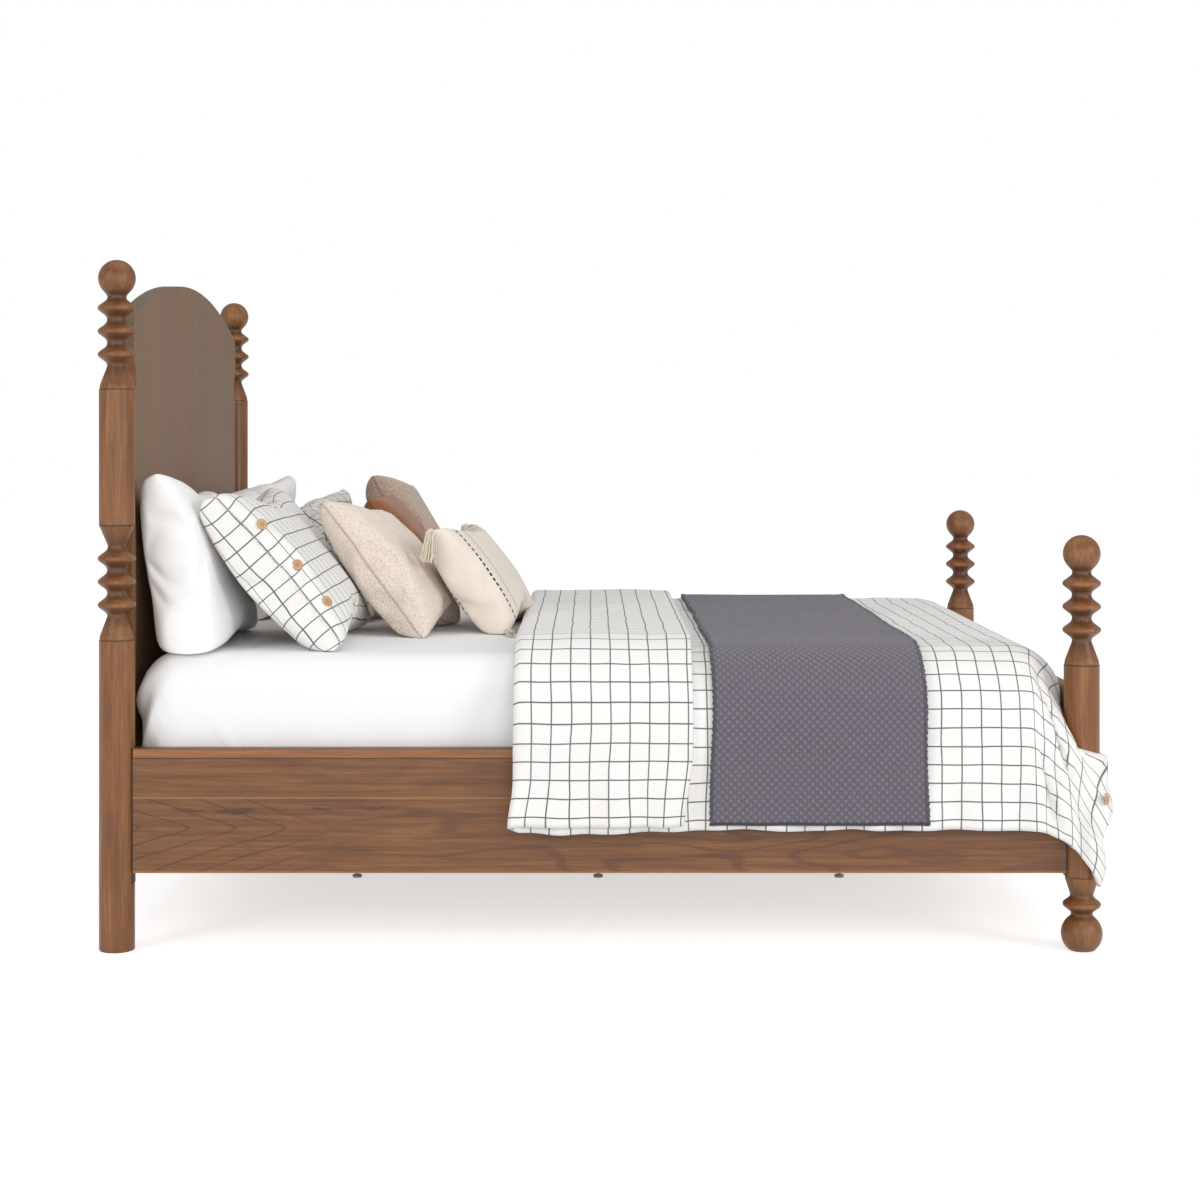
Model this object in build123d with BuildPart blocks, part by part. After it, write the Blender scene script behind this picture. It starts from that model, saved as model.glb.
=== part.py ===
from build123d import *
import math
import os

# Panel bed with turned posts, an arched headboard, a low footboard and its bedding.
# Millimetres. +X runs from the headboard to the footboard, +Z up, and +Y to the right-hand side
# of somebody who stands at the foot and looks at the headboard. The origin is on the floor, in
# the middle of the bed's outline. The pieces of one side are mirrored on the other.

SIDES = {"left": -1, "right": 1}

# Posts: how they are stacked
post_r = 39.1
head_leg_height = 685.0
head_spindle_height = 253.0
head_post_height = 300.0
foot_post_height = 466.5
joint_chamfer = 0.8
leg_edge_r = 3.0

# Turned rings, the same on every turning
ring_r = 41.8
ring_neck_r = 21.4
ring_pitch = 51.2
ring_count = 3
ring_edge_r = 7.4
ring_neck_curve_r = 12.8
ring_curve_share = 0.88

# Turned foot of a finial or a spindle, below its first ring
turning_base_r = 37.7
turning_base_rise = 7.5
turning_base_curve_r = 25.0
turning_taper = 0.377
turning_neck_curve_r = 10.0
first_ring_rise = 77.0

# Upper end of the spindle, which widens again to the cylinder
spindle_top_taper = 0.43
spindle_top_curve_r = 13.0

# Ball on the finial
ball_r = 40.9
ball_gap = 25.0
ball_contact_angle = 48.7
ball_neck_curve_r = 9.0

# Bun foot under a foot post
bun_ball_r = 45.5
bun_ball_centre_z = 36.5
bun_contact_angle = 42.0
bun_neck_curve_r = 8.0
bun_ring_gap = 19.0
bun_top_r = 36.5
bun_top_drop = 6.8
bun_height = 163.5
bun_flare_taper = 0.33
bun_flare_curve_r = 15.0

# Threaded rods that hold a post's turnings together
rod_r = 6.0
rod_half_length = 40.0
rod_clearance = 0.3
rod_end_clearance = 2.0

# Side rails, with their steel end plates and bolts
rail_outboard = 18.0
rail_thickness = 32.0
rail_bottom_z = 172.4
rail_height = 274.1
rail_cap_height = 20.0
rail_shadow_groove = 1.2
rail_cap_edge_r = 1.5
post_flat = 35.8
flat_below_rail = 24.0
plate_thickness = 3.0
plate_width = 26.0
plate_top_drop = 20.0
bolt_r = 4.0
bolt_clearance = 0.4
bolt_head_r = 6.5
bolt_head_height = 7.0
bolt_head_recess_r = 9.0
bolt_head_recess = 12.0
bolt_tail = 8.0
lower_bolt_rise = 55.0
upper_bolt_drop = 75.0
nut_r = 5.0
nut_length = 20.0
nut_inset = 50.0
nut_clearance = 0.1
nut_thread_clearance = 0.05

# Headboard: a frame of two stiles and a rail round an arched panel
stile_thickness = 49.0
stile_inner = 82.0
stile_outer = 46.7
stile_top_z = 1232.0
stile_top_r = 8.0
cope_clearance = 0.2
cope_lip = 3.0
headboard_thickness = 36.0
headboard_crown_z = 1514.0
headboard_arch_r = 2290.0
shoulder_inset = 103.0
shoulder_r = 18.0
notch_r = 35.0
notch_arc = 124.0
frame_bottom_z = 172.0
headboard_rail_height = 160.0
tongue_thickness = 12.0
tongue_depth = 10.0
tongue_clearance = 0.2
tongue_stop = 20.0

# Footboard
footboard_thickness = 26.0
footboard_top_z = 570.0
footboard_edge_r = 2.0
footboard_housing = 9.0
housing_clearance = 0.2

# Slats, the ledgers that carry them and the centre beam with its legs
slat_top_z = 350.0
slat_thickness = 18.0
slat_width = 95.0
slat_count = 12
slat_end_gap = 2.0
slat_edge_r = 2.0
end_slat_gap = 30.0
ledger_width = 25.0
ledger_height = 30.0
ledger_end_gap = 10.0
screw_r = 2.0
screw_head_r = 4.2
screw_length = 36.0
screw_clearance = 0.1
screw_sink = 0.2
screw_tip_gap = 1.0
beam_width = 38.0
beam_height = 64.0
bracket_thickness = 3.0
bracket_length = 60.0
bracket_clearance = 0.3
centre_leg_count = 3
centre_leg_spacing = 620.0
centre_leg_width = 45.0
centre_leg_foot_gap = 16.0
glide_pad_r = 12.0
glide_pad_height = 6.0
glide_stem_r = 4.0
glide_stem_length = 40.0
glide_clearance = 0.2

# Mattress and fitted sheet
mattress_length = 2032.0
mattress_width = 1524.0
mattress_height = 295.0
mattress_corner_r = 70.0
mattress_edge_r = 60.0
mattress_nudge = 3.0
mattress_side_gap = 14.0
mattress_end_gap = 62.5
sheet_thickness = 2.7
sheet_hem_rise = 8.0
soft_gap = 0.3

# Duvet, turned back at the pillows, tucked in at the foot and hanging at the sides
duvet_head_from_middle = -191.0
turned_back_length = 390.0
duvet_thickness = 16.0
turned_back_extra = 26.0
turned_back_bulge = 8.0
flap_gap = 24.0
flap_thickness = 28.0
duvet_hem_z = 271.0
shoulder_slope_in = 115.0
shoulder_slope_drop = 124.0
shoulder_curve_r = 40.0
foot_slope_length = 130.0
foot_slope_drop = 32.0
tail_bottom_z = 430.0
tail_post_gap = 15.0
corner_overhang = 52.0
corner_drop = 121.0
corner_front_drop = 60.5
corner_back_drop = 40.0
corner_rise = 84.0

# Throw across the duvet
throw_from_middle = 242.0
throw_width = 467.0
throw_thickness = 8.0
throw_hem_z = 282.0

# Cushion shape: share of the full outline, and distance from the middle as a share of fullness
cushion_sections = ((0.40, -0.5), (0.80, -0.3), (1.0, 0.0), (0.80, 0.3), (0.40, 0.5))
cushion_corner_share = 0.12
high_contact = 0.5
low_contact = 0.2

# Pillows and shams, in pairs with a gap between the two. A lean is in degrees from upright.
pillow_width = 650.0
pillow_height = 430.0
pillow_fullness = 150.0
pillow_lean = 11.0
pillow_gap = 220.0
sham_width = 650.0
sham_height = 434.0
sham_fullness = 150.0
sham_lean = 41.0
sham_gap = 128.0

# Loose cushions. An inset runs from the mattress's side to the cushion's middle.
boucle_left_width = 430.0
boucle_left_height = 400.0
boucle_left_fullness = 154.0
boucle_left_lean = 37.0
boucle_left_turn = 8.0
boucle_left_inset = 596.0
rust_width = 304.0
rust_height = 370.0
rust_fullness = 150.0
rust_lean = 27.0
rust_inset = 526.0
boucle_right_width = 360.0
boucle_right_height = 420.0
boucle_right_fullness = 160.0
boucle_right_lean = 25.0
boucle_right_inset = 190.0
lumbar_width = 480.0
lumbar_height = 330.0
lumbar_fullness = 130.0
lumbar_lean = 35.0
lumbar_inset = 706.0

# Buttons and tassels
button_r = 12.5
button_thickness = 4.0
button_hole_r = 1.2
button_hole_spacing = 5.0
sham_button_spacing = 105.0
duvet_button_inset = 14.0
duvet_button_rise = 84.0
tassel_head_r = 6.0
tassel_skirt_r = 12.0
tassel_length = 70.0

# Places worked out from the sizes above: the bed is built round its mattress
board_halves = (stile_thickness + footboard_thickness) / 2
post_spacing_x = mattress_length + mattress_end_gap + board_halves
head_x = ring_r - (ring_r + post_spacing_x + corner_overhang) / 2
foot_x = head_x + post_spacing_x
post_y = mattress_width / 2 + mattress_side_gap + rail_thickness - rail_outboard
head_spindle_z = head_leg_height
head_post_z = head_spindle_z + head_spindle_height
head_finial_z = head_post_z + head_post_height
foot_finial_z = bun_height + foot_post_height

rail_outer_y = post_y + rail_outboard
rail_inner_y = rail_outer_y - rail_thickness
rail_mid_y = rail_outer_y - rail_thickness / 2
rail_top_z = rail_bottom_z + rail_height
cap_bottom_z = rail_top_z - rail_cap_height
rail_head_x = head_x + post_flat + plate_thickness
rail_foot_x = foot_x - post_flat - plate_thickness
rail_length = rail_foot_x - rail_head_x
rail_mid_x = (rail_head_x + rail_foot_x) / 2
bolt_levels = (rail_bottom_z + lower_bolt_rise, rail_top_z - upper_bolt_drop)
rod_bore_r = rod_r + rod_clearance
rod_bore_depth = rod_half_length + rod_end_clearance

stile_inner_y = post_y - stile_inner
stile_outer_y = post_y - stile_outer
stile_front_x = head_x + stile_thickness / 2
footboard_inner_x = foot_x - footboard_thickness / 2
headboard_rail_top_z = frame_bottom_z + headboard_rail_height

slat_bottom_z = slat_top_z - slat_thickness
ledger_mid_y = rail_inner_y - ledger_width / 2
beam_bottom_z = slat_bottom_z - beam_height
beam_head_x = stile_front_x + bracket_thickness + bracket_clearance
beam_foot_x = footboard_inner_x - bracket_thickness - bracket_clearance

mattress_x = (stile_front_x + footboard_inner_x) / 2 - mattress_nudge
mattress_top_z = slat_top_z + mattress_height
sheet_gap_top_z = mattress_top_z + soft_gap
sheet_top_z = sheet_gap_top_z + sheet_thickness
sheet_half_y = mattress_width / 2 + soft_gap + sheet_thickness
sheet_foot_x = mattress_x + mattress_length / 2 + soft_gap + sheet_thickness
bed_top_z = sheet_top_z + soft_gap

duvet_head_x = mattress_x + duvet_head_from_middle
duvet_top_z = bed_top_z + duvet_thickness
flap_inner_y = rail_outer_y + flap_gap
flap_outer_y = flap_inner_y + flap_thickness
tail_inner_x = sheet_foot_x + soft_gap
tail_outer_x = tail_inner_x + duvet_thickness
tail_half_y = post_y - post_r - tail_post_gap
corner_x = foot_x + corner_overhang
throw_head_x = mattress_x + throw_from_middle


def save(piece, name):
    """Label a finished piece and write it as a STEP file of its own."""
    piece.part.label = name
    export_step(piece.part, f"parts/{name}.step")


def upright_plane(x, y, z):
    """A plane across the bed's side, for outlines of radius against height."""
    return Plane(origin=(x, y, z), x_dir=(1, 0, 0), z_dir=(0, -1, 0))


# The straight flank between two rings touches both of their curves. Its slope is the radius
# it loses per millimetre of height, and the flanks meet at a virtual edge outside each ring.
half_pitch = ring_pitch / 2
curve_scale = min(1.0, ring_curve_share * half_pitch / (ring_edge_r + ring_neck_curve_r))
edge_curve_r = ring_edge_r * curve_scale
neck_curve_r = ring_neck_curve_r * curve_scale
curve_sum = edge_curve_r + neck_curve_r
ring_depth = ring_r - ring_neck_r
slope_a = half_pitch**2 - curve_sum**2
slope_b = half_pitch * (ring_depth - curve_sum)
slope_c = (ring_depth - curve_sum) ** 2 - curve_sum**2
flank_slope = (slope_b + math.sqrt(slope_b**2 - slope_a * slope_c)) / slope_a
edge_sharpness = math.sqrt(1 + flank_slope**2) - 1
ring_edge_virtual_r = ring_r + edge_curve_r * edge_sharpness
neck_virtual_r = ring_neck_r - neck_curve_r * edge_sharpness
rings_height = ring_pitch * (ring_count - 1)


def ring_corners(first_z):
    """Corners and radii of the rings and of the necks between them, from the lowest ring up."""
    corners = []
    for i in range(ring_count):
        z = first_z + i * ring_pitch
        corners.append(((ring_edge_virtual_r, z), edge_curve_r))
        if i < ring_count - 1:
            corners.append(((neck_virtual_r, z + half_pitch), neck_curve_r))
    return corners


def taper_neck(span, corner_r, taper):
    """Where a ring's flank meets a taper that ends a span away: distance from the ring, radius."""
    rise = (ring_edge_virtual_r - corner_r + taper * span) / (flank_slope + taper)
    return rise, ring_edge_virtual_r - flank_slope * rise


def ball_neck(span, radius, contact_angle):
    """The same for the line that leaves a ball at an angle from its pole."""
    fall = 1 / math.tan(math.radians(contact_angle))
    line_r = radius / math.sin(math.radians(contact_angle))
    rise = (ring_edge_virtual_r - line_r + span * fall) / (flank_slope + fall)
    return rise, ring_edge_virtual_r - flank_slope * rise


def rounded_line(start, corners, end):
    """A line from start to end through corners that each have their own radius."""
    points = [start] + [corner for corner, radius in corners] + [end]
    return FilletPolyline(*points, radius=[radius for corner, radius in corners])


def finial_outline():
    """Base, tapered neck, rings and ball, as radius against height above the joint."""
    base_z = turning_base_rise
    ring_z = first_ring_rise
    top_ring_z = ring_z + rings_height
    low_rise, low_r = taper_neck(ring_z - base_z, turning_base_r, turning_taper)
    ball_z = top_ring_z + ball_gap + ball_r
    top_rise, top_r = ball_neck(ball_z - top_ring_z, ball_r, ball_contact_angle)
    contact = math.radians(ball_contact_angle)
    touch = (ball_r * math.sin(contact), ball_z - ball_r * math.cos(contact))
    corners = [((turning_base_r, base_z), turning_base_curve_r)]
    corners.append(((low_r, ring_z - low_rise), turning_neck_curve_r))
    corners += ring_corners(ring_z)
    corners.append(((top_r, top_ring_z + top_rise), ball_neck_curve_r))
    Line((0, 0), (turning_base_r, 0))
    rounded_line((turning_base_r, 0), corners, touch)
    CenterArc((0, ball_z), ball_r, ball_contact_angle - 90, 180 - ball_contact_angle)
    Line((0, ball_z + ball_r), (0, 0))


def spindle_outline():
    """Tapered base, rings, and a taper that widens to the cylinder above."""
    base_z = turning_base_rise
    ring_z = first_ring_rise
    top_ring_z = ring_z + rings_height
    low_rise, low_r = taper_neck(ring_z - base_z, turning_base_r, turning_taper)
    top_span = head_spindle_height - top_ring_z
    top_rise, top_r = taper_neck(top_span, post_r, spindle_top_taper)
    corners = [((turning_base_r, base_z), turning_base_curve_r)]
    corners.append(((low_r, ring_z - low_rise), turning_neck_curve_r))
    corners += ring_corners(ring_z)
    corners.append(((top_r, top_ring_z + top_rise), spindle_top_curve_r))
    Line((0, 0), (turning_base_r, 0))
    rounded_line((turning_base_r, 0), corners, (post_r, head_spindle_height))
    Line((post_r, head_spindle_height), (0, head_spindle_height))
    Line((0, head_spindle_height), (0, 0))


def bun_outline():
    """Flattened ball on the floor, one ring, and a flare up to the post."""
    flat_r = math.sqrt(bun_ball_r**2 - bun_ball_centre_z**2)
    flat_angle = -math.degrees(math.asin(bun_ball_centre_z / bun_ball_r))
    ring_z = bun_ball_centre_z + bun_ball_r + bun_ring_gap
    contact = math.radians(bun_contact_angle)
    touch = (bun_ball_r * math.sin(contact), bun_ball_centre_z + bun_ball_r * math.cos(contact))
    low_rise, low_r = ball_neck(ring_z - bun_ball_centre_z, bun_ball_r, bun_contact_angle)
    flare_z = bun_height - bun_top_drop
    top_rise, top_r = taper_neck(flare_z - ring_z, bun_top_r, bun_flare_taper)
    corners = [((low_r, ring_z - low_rise), bun_neck_curve_r)]
    corners.append(((ring_edge_virtual_r, ring_z), edge_curve_r))
    corners.append(((top_r, ring_z + top_rise), turning_neck_curve_r))
    corners.append(((bun_top_r, flare_z), bun_flare_curve_r))
    Line((0, 0), (flat_r, 0))
    sweep_angle = 90 - bun_contact_angle - flat_angle
    CenterArc((0, bun_ball_centre_z), bun_ball_r, flat_angle, sweep_angle)
    rounded_line(touch, corners, (bun_top_r, bun_height))
    Line((bun_top_r, bun_height), (0, bun_height))
    Line((0, bun_height), (0, 0))


def turned_piece(x, y, z, draw_outline, bore_bottom, bore_top_at):
    """Spin an outline about a post's axis, and drill its ends for the threaded rods."""
    with BuildPart() as piece:
        with BuildSketch(upright_plane(x, y, z)):
            with BuildLine():
                draw_outline()
            make_face()
        revolve(axis=Axis((x, y, z), (0, 0, 1)))
        if bore_bottom:
            with Locations(Location((x, y, z), (180, 0, 0))):
                Hole(radius=rod_bore_r, depth=rod_bore_depth)
        if bore_top_at:
            with Locations((x, y, z + bore_top_at)):
                Hole(radius=rod_bore_r, depth=rod_bore_depth)
    return piece


def cut_rail_seat(x, side, inward):
    """Mill the flat that a side rail meets, and drill the post for its two bolts."""
    flat_height = rail_height + flat_below_rail
    flat_mid_z = rail_bottom_z - flat_below_rail + flat_height / 2
    with Locations((x + inward * post_r, side * post_y, flat_mid_z)):
        Box(2 * (post_r - post_flat), 2 * post_r, flat_height, mode=Mode.SUBTRACT)
    for z in bolt_levels:
        mouth = (x - inward * post_r, side * rail_mid_y, z)
        with Locations(Plane(origin=mouth, z_dir=(-inward, 0, 0))):
            hole_r = bolt_r + bolt_clearance
            CounterBoreHole(hole_r, bolt_head_recess_r, bolt_head_recess, depth=2 * post_r)


def head_leg(side):
    """Lower cylinder of a head post, from the floor to the turned spindle."""
    y = side * post_y
    with BuildPart() as leg:
        with BuildSketch(Plane(origin=(head_x, y, 0))):
            Circle(post_r)
        extrude(amount=head_leg_height)
        fillet(leg.edges().group_by(Axis.Z)[0], leg_edge_r)
        chamfer(leg.edges().group_by(Axis.Z)[-1], joint_chamfer)
        with Locations((head_x, y, head_leg_height)):
            Hole(radius=rod_bore_r, depth=rod_bore_depth)
        cut_rail_seat(head_x, side, 1)
    return leg


def head_post(side):
    """Upper cylinder of a head post, between the spindle and the finial."""
    y = side * post_y
    with BuildPart() as post:
        with BuildSketch(Plane(origin=(head_x, y, head_post_z))):
            Circle(post_r)
        extrude(amount=head_post_height)
        chamfer(post.edges().filter_by(GeomType.CIRCLE), joint_chamfer)
        with Locations((head_x, y, head_finial_z)):
            Hole(radius=rod_bore_r, depth=rod_bore_depth)
        with Locations(Location((head_x, y, head_post_z), (180, 0, 0))):
            Hole(radius=rod_bore_r, depth=rod_bore_depth)
    return post


def foot_post(side):
    """Cylinder between the bun foot and the finial, housed out for the footboard's end."""
    y = side * post_y
    housing_height = footboard_top_z - frame_bottom_z + 2 * housing_clearance
    housing_mid_z = (footboard_top_z + frame_bottom_z) / 2
    housing_width = footboard_thickness + 2 * housing_clearance
    housing_depth = 2 * (footboard_housing + housing_clearance)
    with BuildPart() as post:
        with BuildSketch(Plane(origin=(foot_x, y, bun_height))):
            Circle(post_r)
        extrude(amount=foot_post_height)
        chamfer(post.edges().filter_by(GeomType.CIRCLE), joint_chamfer)
        with Locations((foot_x, y, foot_finial_z)):
            Hole(radius=rod_bore_r, depth=rod_bore_depth)
        with Locations(Location((foot_x, y, bun_height), (180, 0, 0))):
            Hole(radius=rod_bore_r, depth=rod_bore_depth)
        with Locations((foot_x, side * (post_y - post_r), housing_mid_z)):
            Box(housing_width, housing_depth, housing_height, mode=Mode.SUBTRACT)
        cut_rail_seat(foot_x, side, -1)
    return post


def post_rods():
    """One threaded rod across every joint between two turnings of a post."""
    joints = [(head_x, z) for z in (head_spindle_z, head_post_z, head_finial_z)]
    joints += [(foot_x, z) for z in (bun_height, foot_finial_z)]
    with BuildPart() as rods:
        for x, z in joints:
            for side in SIDES.values():
                with Locations((x, side * post_y, z)):
                    Cylinder(rod_r, 2 * rod_half_length)
    return rods


def headboard_stile(side):
    """Upright beside a head post, scooped out to sit round its cylinders."""
    lip = math.sqrt((post_r + cope_clearance) ** 2 - (stile_thickness / 2) ** 2) + cope_lip
    lip_y = post_y - lip
    width = stile_outer_y - stile_inner_y
    length = stile_top_z - frame_bottom_z
    mid_z = frame_bottom_z + length / 2
    cope_width = lip_y - stile_outer_y
    cope_mid_y = (lip_y + stile_outer_y) / 2
    spans = ((frame_bottom_z, head_leg_height), (head_post_z, stile_top_z - stile_top_r))
    groove_depth = tongue_depth + tongue_clearance
    groove_width = tongue_thickness + 2 * tongue_clearance
    groove_length = length - tongue_stop
    with BuildPart() as stile:
        with Locations((head_x, side * (stile_inner_y + width / 2), mid_z)):
            Box(stile_thickness, width, length)
        top_edges = stile.edges().group_by(Axis.Z)[-1].filter_by(Axis.Y)
        fillet(top_edges, stile_top_r)
        for low, high in spans:
            with Locations((head_x, side * cope_mid_y, (low + high) / 2)):
                Box(stile_thickness, cope_width, high - low)
        for low, high in spans:
            with Locations((head_x, side * post_y, (low + high) / 2)):
                Cylinder(post_r + cope_clearance, high - low, mode=Mode.SUBTRACT)
        groove_y = side * (stile_inner_y + groove_depth / 2)
        with Locations((head_x, groove_y, frame_bottom_z + groove_length / 2)):
            Box(groove_width, groove_depth, groove_length, mode=Mode.SUBTRACT)
    return stile


def headboard_rail():
    """Bottom rail of the headboard, with a stub tenon at each end and a groove for the panel."""
    tenon_half = stile_inner_y + tongue_depth
    groove_depth = tongue_depth + tongue_clearance
    mid_z = frame_bottom_z + headboard_rail_height / 2
    with BuildPart() as rail:
        with Locations((head_x, 0, mid_z)):
            Box(stile_thickness, 2 * stile_inner_y, headboard_rail_height)
            Box(tongue_thickness, 2 * tenon_half, headboard_rail_height)
        with Locations((head_x, 0, headboard_rail_top_z)):
            groove_width = tongue_thickness + 2 * tongue_clearance
            Box(groove_width, 2 * tenon_half, 2 * groove_depth, mode=Mode.SUBTRACT)
    return rail


def headboard_panel():
    """Arched panel, drawn from the foot, with a tongue that sits in the stiles and the rail."""
    shoulder_y = post_y - shoulder_inset
    arch_drop = headboard_arch_r - math.sqrt(headboard_arch_r**2 - shoulder_y**2)
    shoulder = (-shoulder_y, headboard_crown_z - arch_drop)
    tongue_top_z = stile_top_z - tongue_stop - tongue_clearance
    tongue_bottom_z = headboard_rail_top_z - tongue_depth
    tongue_mid_z = (tongue_top_z + tongue_bottom_z) / 2
    back = Plane(origin=(head_x - headboard_thickness / 2, 0, 0), x_dir=(0, 1, 0), z_dir=(1, 0, 0))
    with BuildPart() as panel:
        with BuildSketch(back) as outline:
            with BuildLine():
                foot = (-stile_inner_y, headboard_rail_top_z)
                edge = Line(foot, (-stile_inner_y, stile_top_z))
                notch = JernArc(edge @ 1, (1, 0), notch_r, notch_arc)
                flank = TangentArc(notch @ 1, shoulder, tangent=notch % 1)
                mirror(about=Plane.YZ)
                ThreePointArc(flank @ 1, (0, headboard_crown_z), (shoulder_y, shoulder[1]))
                Line(foot, (stile_inner_y, headboard_rail_top_z))
            make_face()
            fillet(outline.vertices().group_by(Axis.Y)[-1], shoulder_r)
        extrude(amount=headboard_thickness)
        with Locations((head_x, 0, tongue_mid_z)):
            tongue_half = stile_inner_y + tongue_depth
            Box(tongue_thickness, 2 * tongue_half, tongue_top_z - tongue_bottom_z)
    return panel


def footboard_panel():
    """Plain panel whose ends are housed in the foot posts."""
    half = post_y - post_r + footboard_housing
    height = footboard_top_z - frame_bottom_z
    with BuildPart() as panel:
        with Locations((foot_x, 0, frame_bottom_z + height / 2)):
            Box(footboard_thickness, 2 * half, height)
        fillet(panel.edges().group_by(Axis.Z)[-1].filter_by(Axis.Y), footboard_edge_r)
    return panel


def side_rail(side):
    """Veneered rail, bored for the bolts and the barrel nuts at both ends."""
    height = cap_bottom_z - rail_bottom_z
    mouths = ((rail_head_x, -1), (rail_foot_x, 1))
    with BuildPart() as rail:
        with Locations((rail_mid_x, side * rail_mid_y, rail_bottom_z + height / 2)):
            Box(rail_length, rail_thickness, height)
        outer_face = rail.faces().sort_by(Axis.Y)[-1 if side > 0 else 0]
        chamfer(outer_face.edges().sort_by(Axis.Z)[-1], rail_shadow_groove)
        for x, outward in mouths:
            for z in bolt_levels:
                with Locations(Plane((x, side * rail_mid_y, z), z_dir=(outward, 0, 0))):
                    depth = nut_inset + bolt_tail + rod_end_clearance
                    Hole(radius=bolt_r + bolt_clearance, depth=depth)
                nut_mouth = (x - outward * nut_inset, side * rail_inner_y, z)
                with Locations(Plane(nut_mouth, z_dir=(0, -side, 0))):
                    depth = rail_thickness / 2 + nut_length / 2 + nut_clearance
                    Hole(radius=nut_r + nut_clearance, depth=depth)
    return rail


def rail_cap(side):
    """Solid wood strip along the top of a rail."""
    with BuildPart() as cap:
        with Locations((rail_mid_x, side * rail_mid_y, rail_top_z - rail_cap_height / 2)):
            Box(rail_length, rail_thickness, rail_cap_height)
        fillet(cap.edges().group_by(Axis.Z)[-1].filter_by(Axis.X), rail_cap_edge_r)
    return cap


def rail_plates():
    """Black steel plates between the rails' ends and the posts' flats."""
    flat_bottom_z = rail_bottom_z - flat_below_rail
    top_z = rail_top_z - plate_top_drop
    ends = (
        (rail_head_x - plate_thickness, -1, flat_bottom_z),
        (rail_foot_x + plate_thickness, 1, max(flat_bottom_z, bun_height + joint_chamfer)),
    )
    with BuildPart() as plates:
        for x, outward, bottom_z in ends:
            middle_x = x - outward * plate_thickness / 2
            middle_z = (bottom_z + top_z) / 2
            for side in SIDES.values():
                with Locations((middle_x, side * rail_mid_y, middle_z)):
                    Box(plate_thickness, plate_width, top_z - bottom_z)
                for z in bolt_levels:
                    with Locations(Plane((x, side * rail_mid_y, z), z_dir=(outward, 0, 0))):
                        Hole(radius=bolt_r + bolt_clearance, depth=2 * plate_thickness)
    return plates


def corner_bolts():
    """Two bolts at each corner, with their heads sunk in the far side of the post."""
    seat = post_r - bolt_head_recess
    reach = seat + post_flat + plate_thickness + nut_inset + bolt_tail
    with BuildPart() as bolts:
        for x, inward in ((head_x, 1), (foot_x, -1)):
            for side in SIDES.values():
                for z in bolt_levels:
                    head_seat = (x - inward * seat, side * rail_mid_y, z)
                    with BuildSketch(Plane(head_seat, z_dir=(inward, 0, 0))):
                        Circle(bolt_r)
                    extrude(amount=reach)
                    with BuildSketch(Plane(head_seat, z_dir=(-inward, 0, 0))):
                        Circle(bolt_head_r)
                    extrude(amount=bolt_head_height)
    return bolts


def barrel_nuts():
    """Cross-drilled nuts that the bolts pull against."""
    with BuildPart() as nuts:
        for x, inward in ((rail_head_x, 1), (rail_foot_x, -1)):
            for side in SIDES.values():
                for z in bolt_levels:
                    middle = (x + inward * nut_inset, side * rail_mid_y, z)
                    with Locations(Location(middle, (90, 0, 0))):
                        Cylinder(nut_r, nut_length)
                    with Locations(Location(middle, (0, 90, 0))):
                        thread_r = bolt_r + nut_thread_clearance
                        Cylinder(thread_r, nut_length, mode=Mode.SUBTRACT)
    return nuts


# Slats, evenly spaced between the two ends of the rails
first_slat_x = rail_head_x + end_slat_gap + slat_width / 2
last_slat_x = rail_foot_x - end_slat_gap - slat_width / 2
slat_pitch = (last_slat_x - first_slat_x) / (slat_count - 1)
slat_half = rail_inner_y - slat_end_gap
slat_places = [first_slat_x + i * slat_pitch for i in range(slat_count)]


def slat_ledger(side):
    """Batten on a rail's inner face that the slats' ends lie on."""
    length = rail_length - 2 * ledger_end_gap
    with BuildPart() as ledger:
        with Locations((rail_mid_x, side * ledger_mid_y, slat_bottom_z - ledger_height / 2)):
            Box(length, ledger_width, ledger_height)
        for x in slat_places:
            with Locations((x, side * ledger_mid_y, slat_bottom_z)):
                depth = screw_length - slat_thickness + screw_tip_gap
                Hole(radius=screw_r + screw_clearance, depth=depth)
    return ledger


def slat(x):
    """One slat, with a countersunk screw hole over each ledger."""
    with BuildPart() as board:
        with Locations((x, 0, slat_top_z - slat_thickness / 2)):
            Box(slat_width, 2 * slat_half, slat_thickness)
        fillet(board.edges().filter_by(Axis.Y), slat_edge_r)
        for side in SIDES.values():
            with Locations((x, side * ledger_mid_y, slat_top_z)):
                hole_r = screw_r + screw_clearance
                sink_r = screw_head_r + screw_clearance + screw_sink
                CounterSinkHole(hole_r, sink_r, depth=slat_thickness, counter_sink_angle=90)
    return board


def slat_screws():
    """A countersunk screw at both ends of every slat."""
    head_z = slat_top_z - screw_sink
    cone_height = screw_head_r - screw_r
    with BuildPart() as screws:
        for x in slat_places:
            for side in SIDES.values():
                y = side * ledger_mid_y
                with BuildSketch(upright_plane(x, y, head_z)):
                    with BuildLine():
                        Polyline(
                            (0, 0),
                            (screw_head_r, 0),
                            (screw_r, -cone_height),
                            (screw_r, -screw_length),
                            (0, -screw_length),
                            close=True,
                        )
                    make_face()
                revolve(axis=Axis((x, y, 0), (0, 0, 1)))
    return screws


def centre_beam():
    """Beam under the middle of the slats, from the headboard's rail to the footboard."""
    length = beam_foot_x - beam_head_x
    with BuildPart() as beam:
        with Locations(((beam_head_x + beam_foot_x) / 2, 0, beam_bottom_z + beam_height / 2)):
            Box(length, beam_width, beam_height)
    return beam


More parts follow.
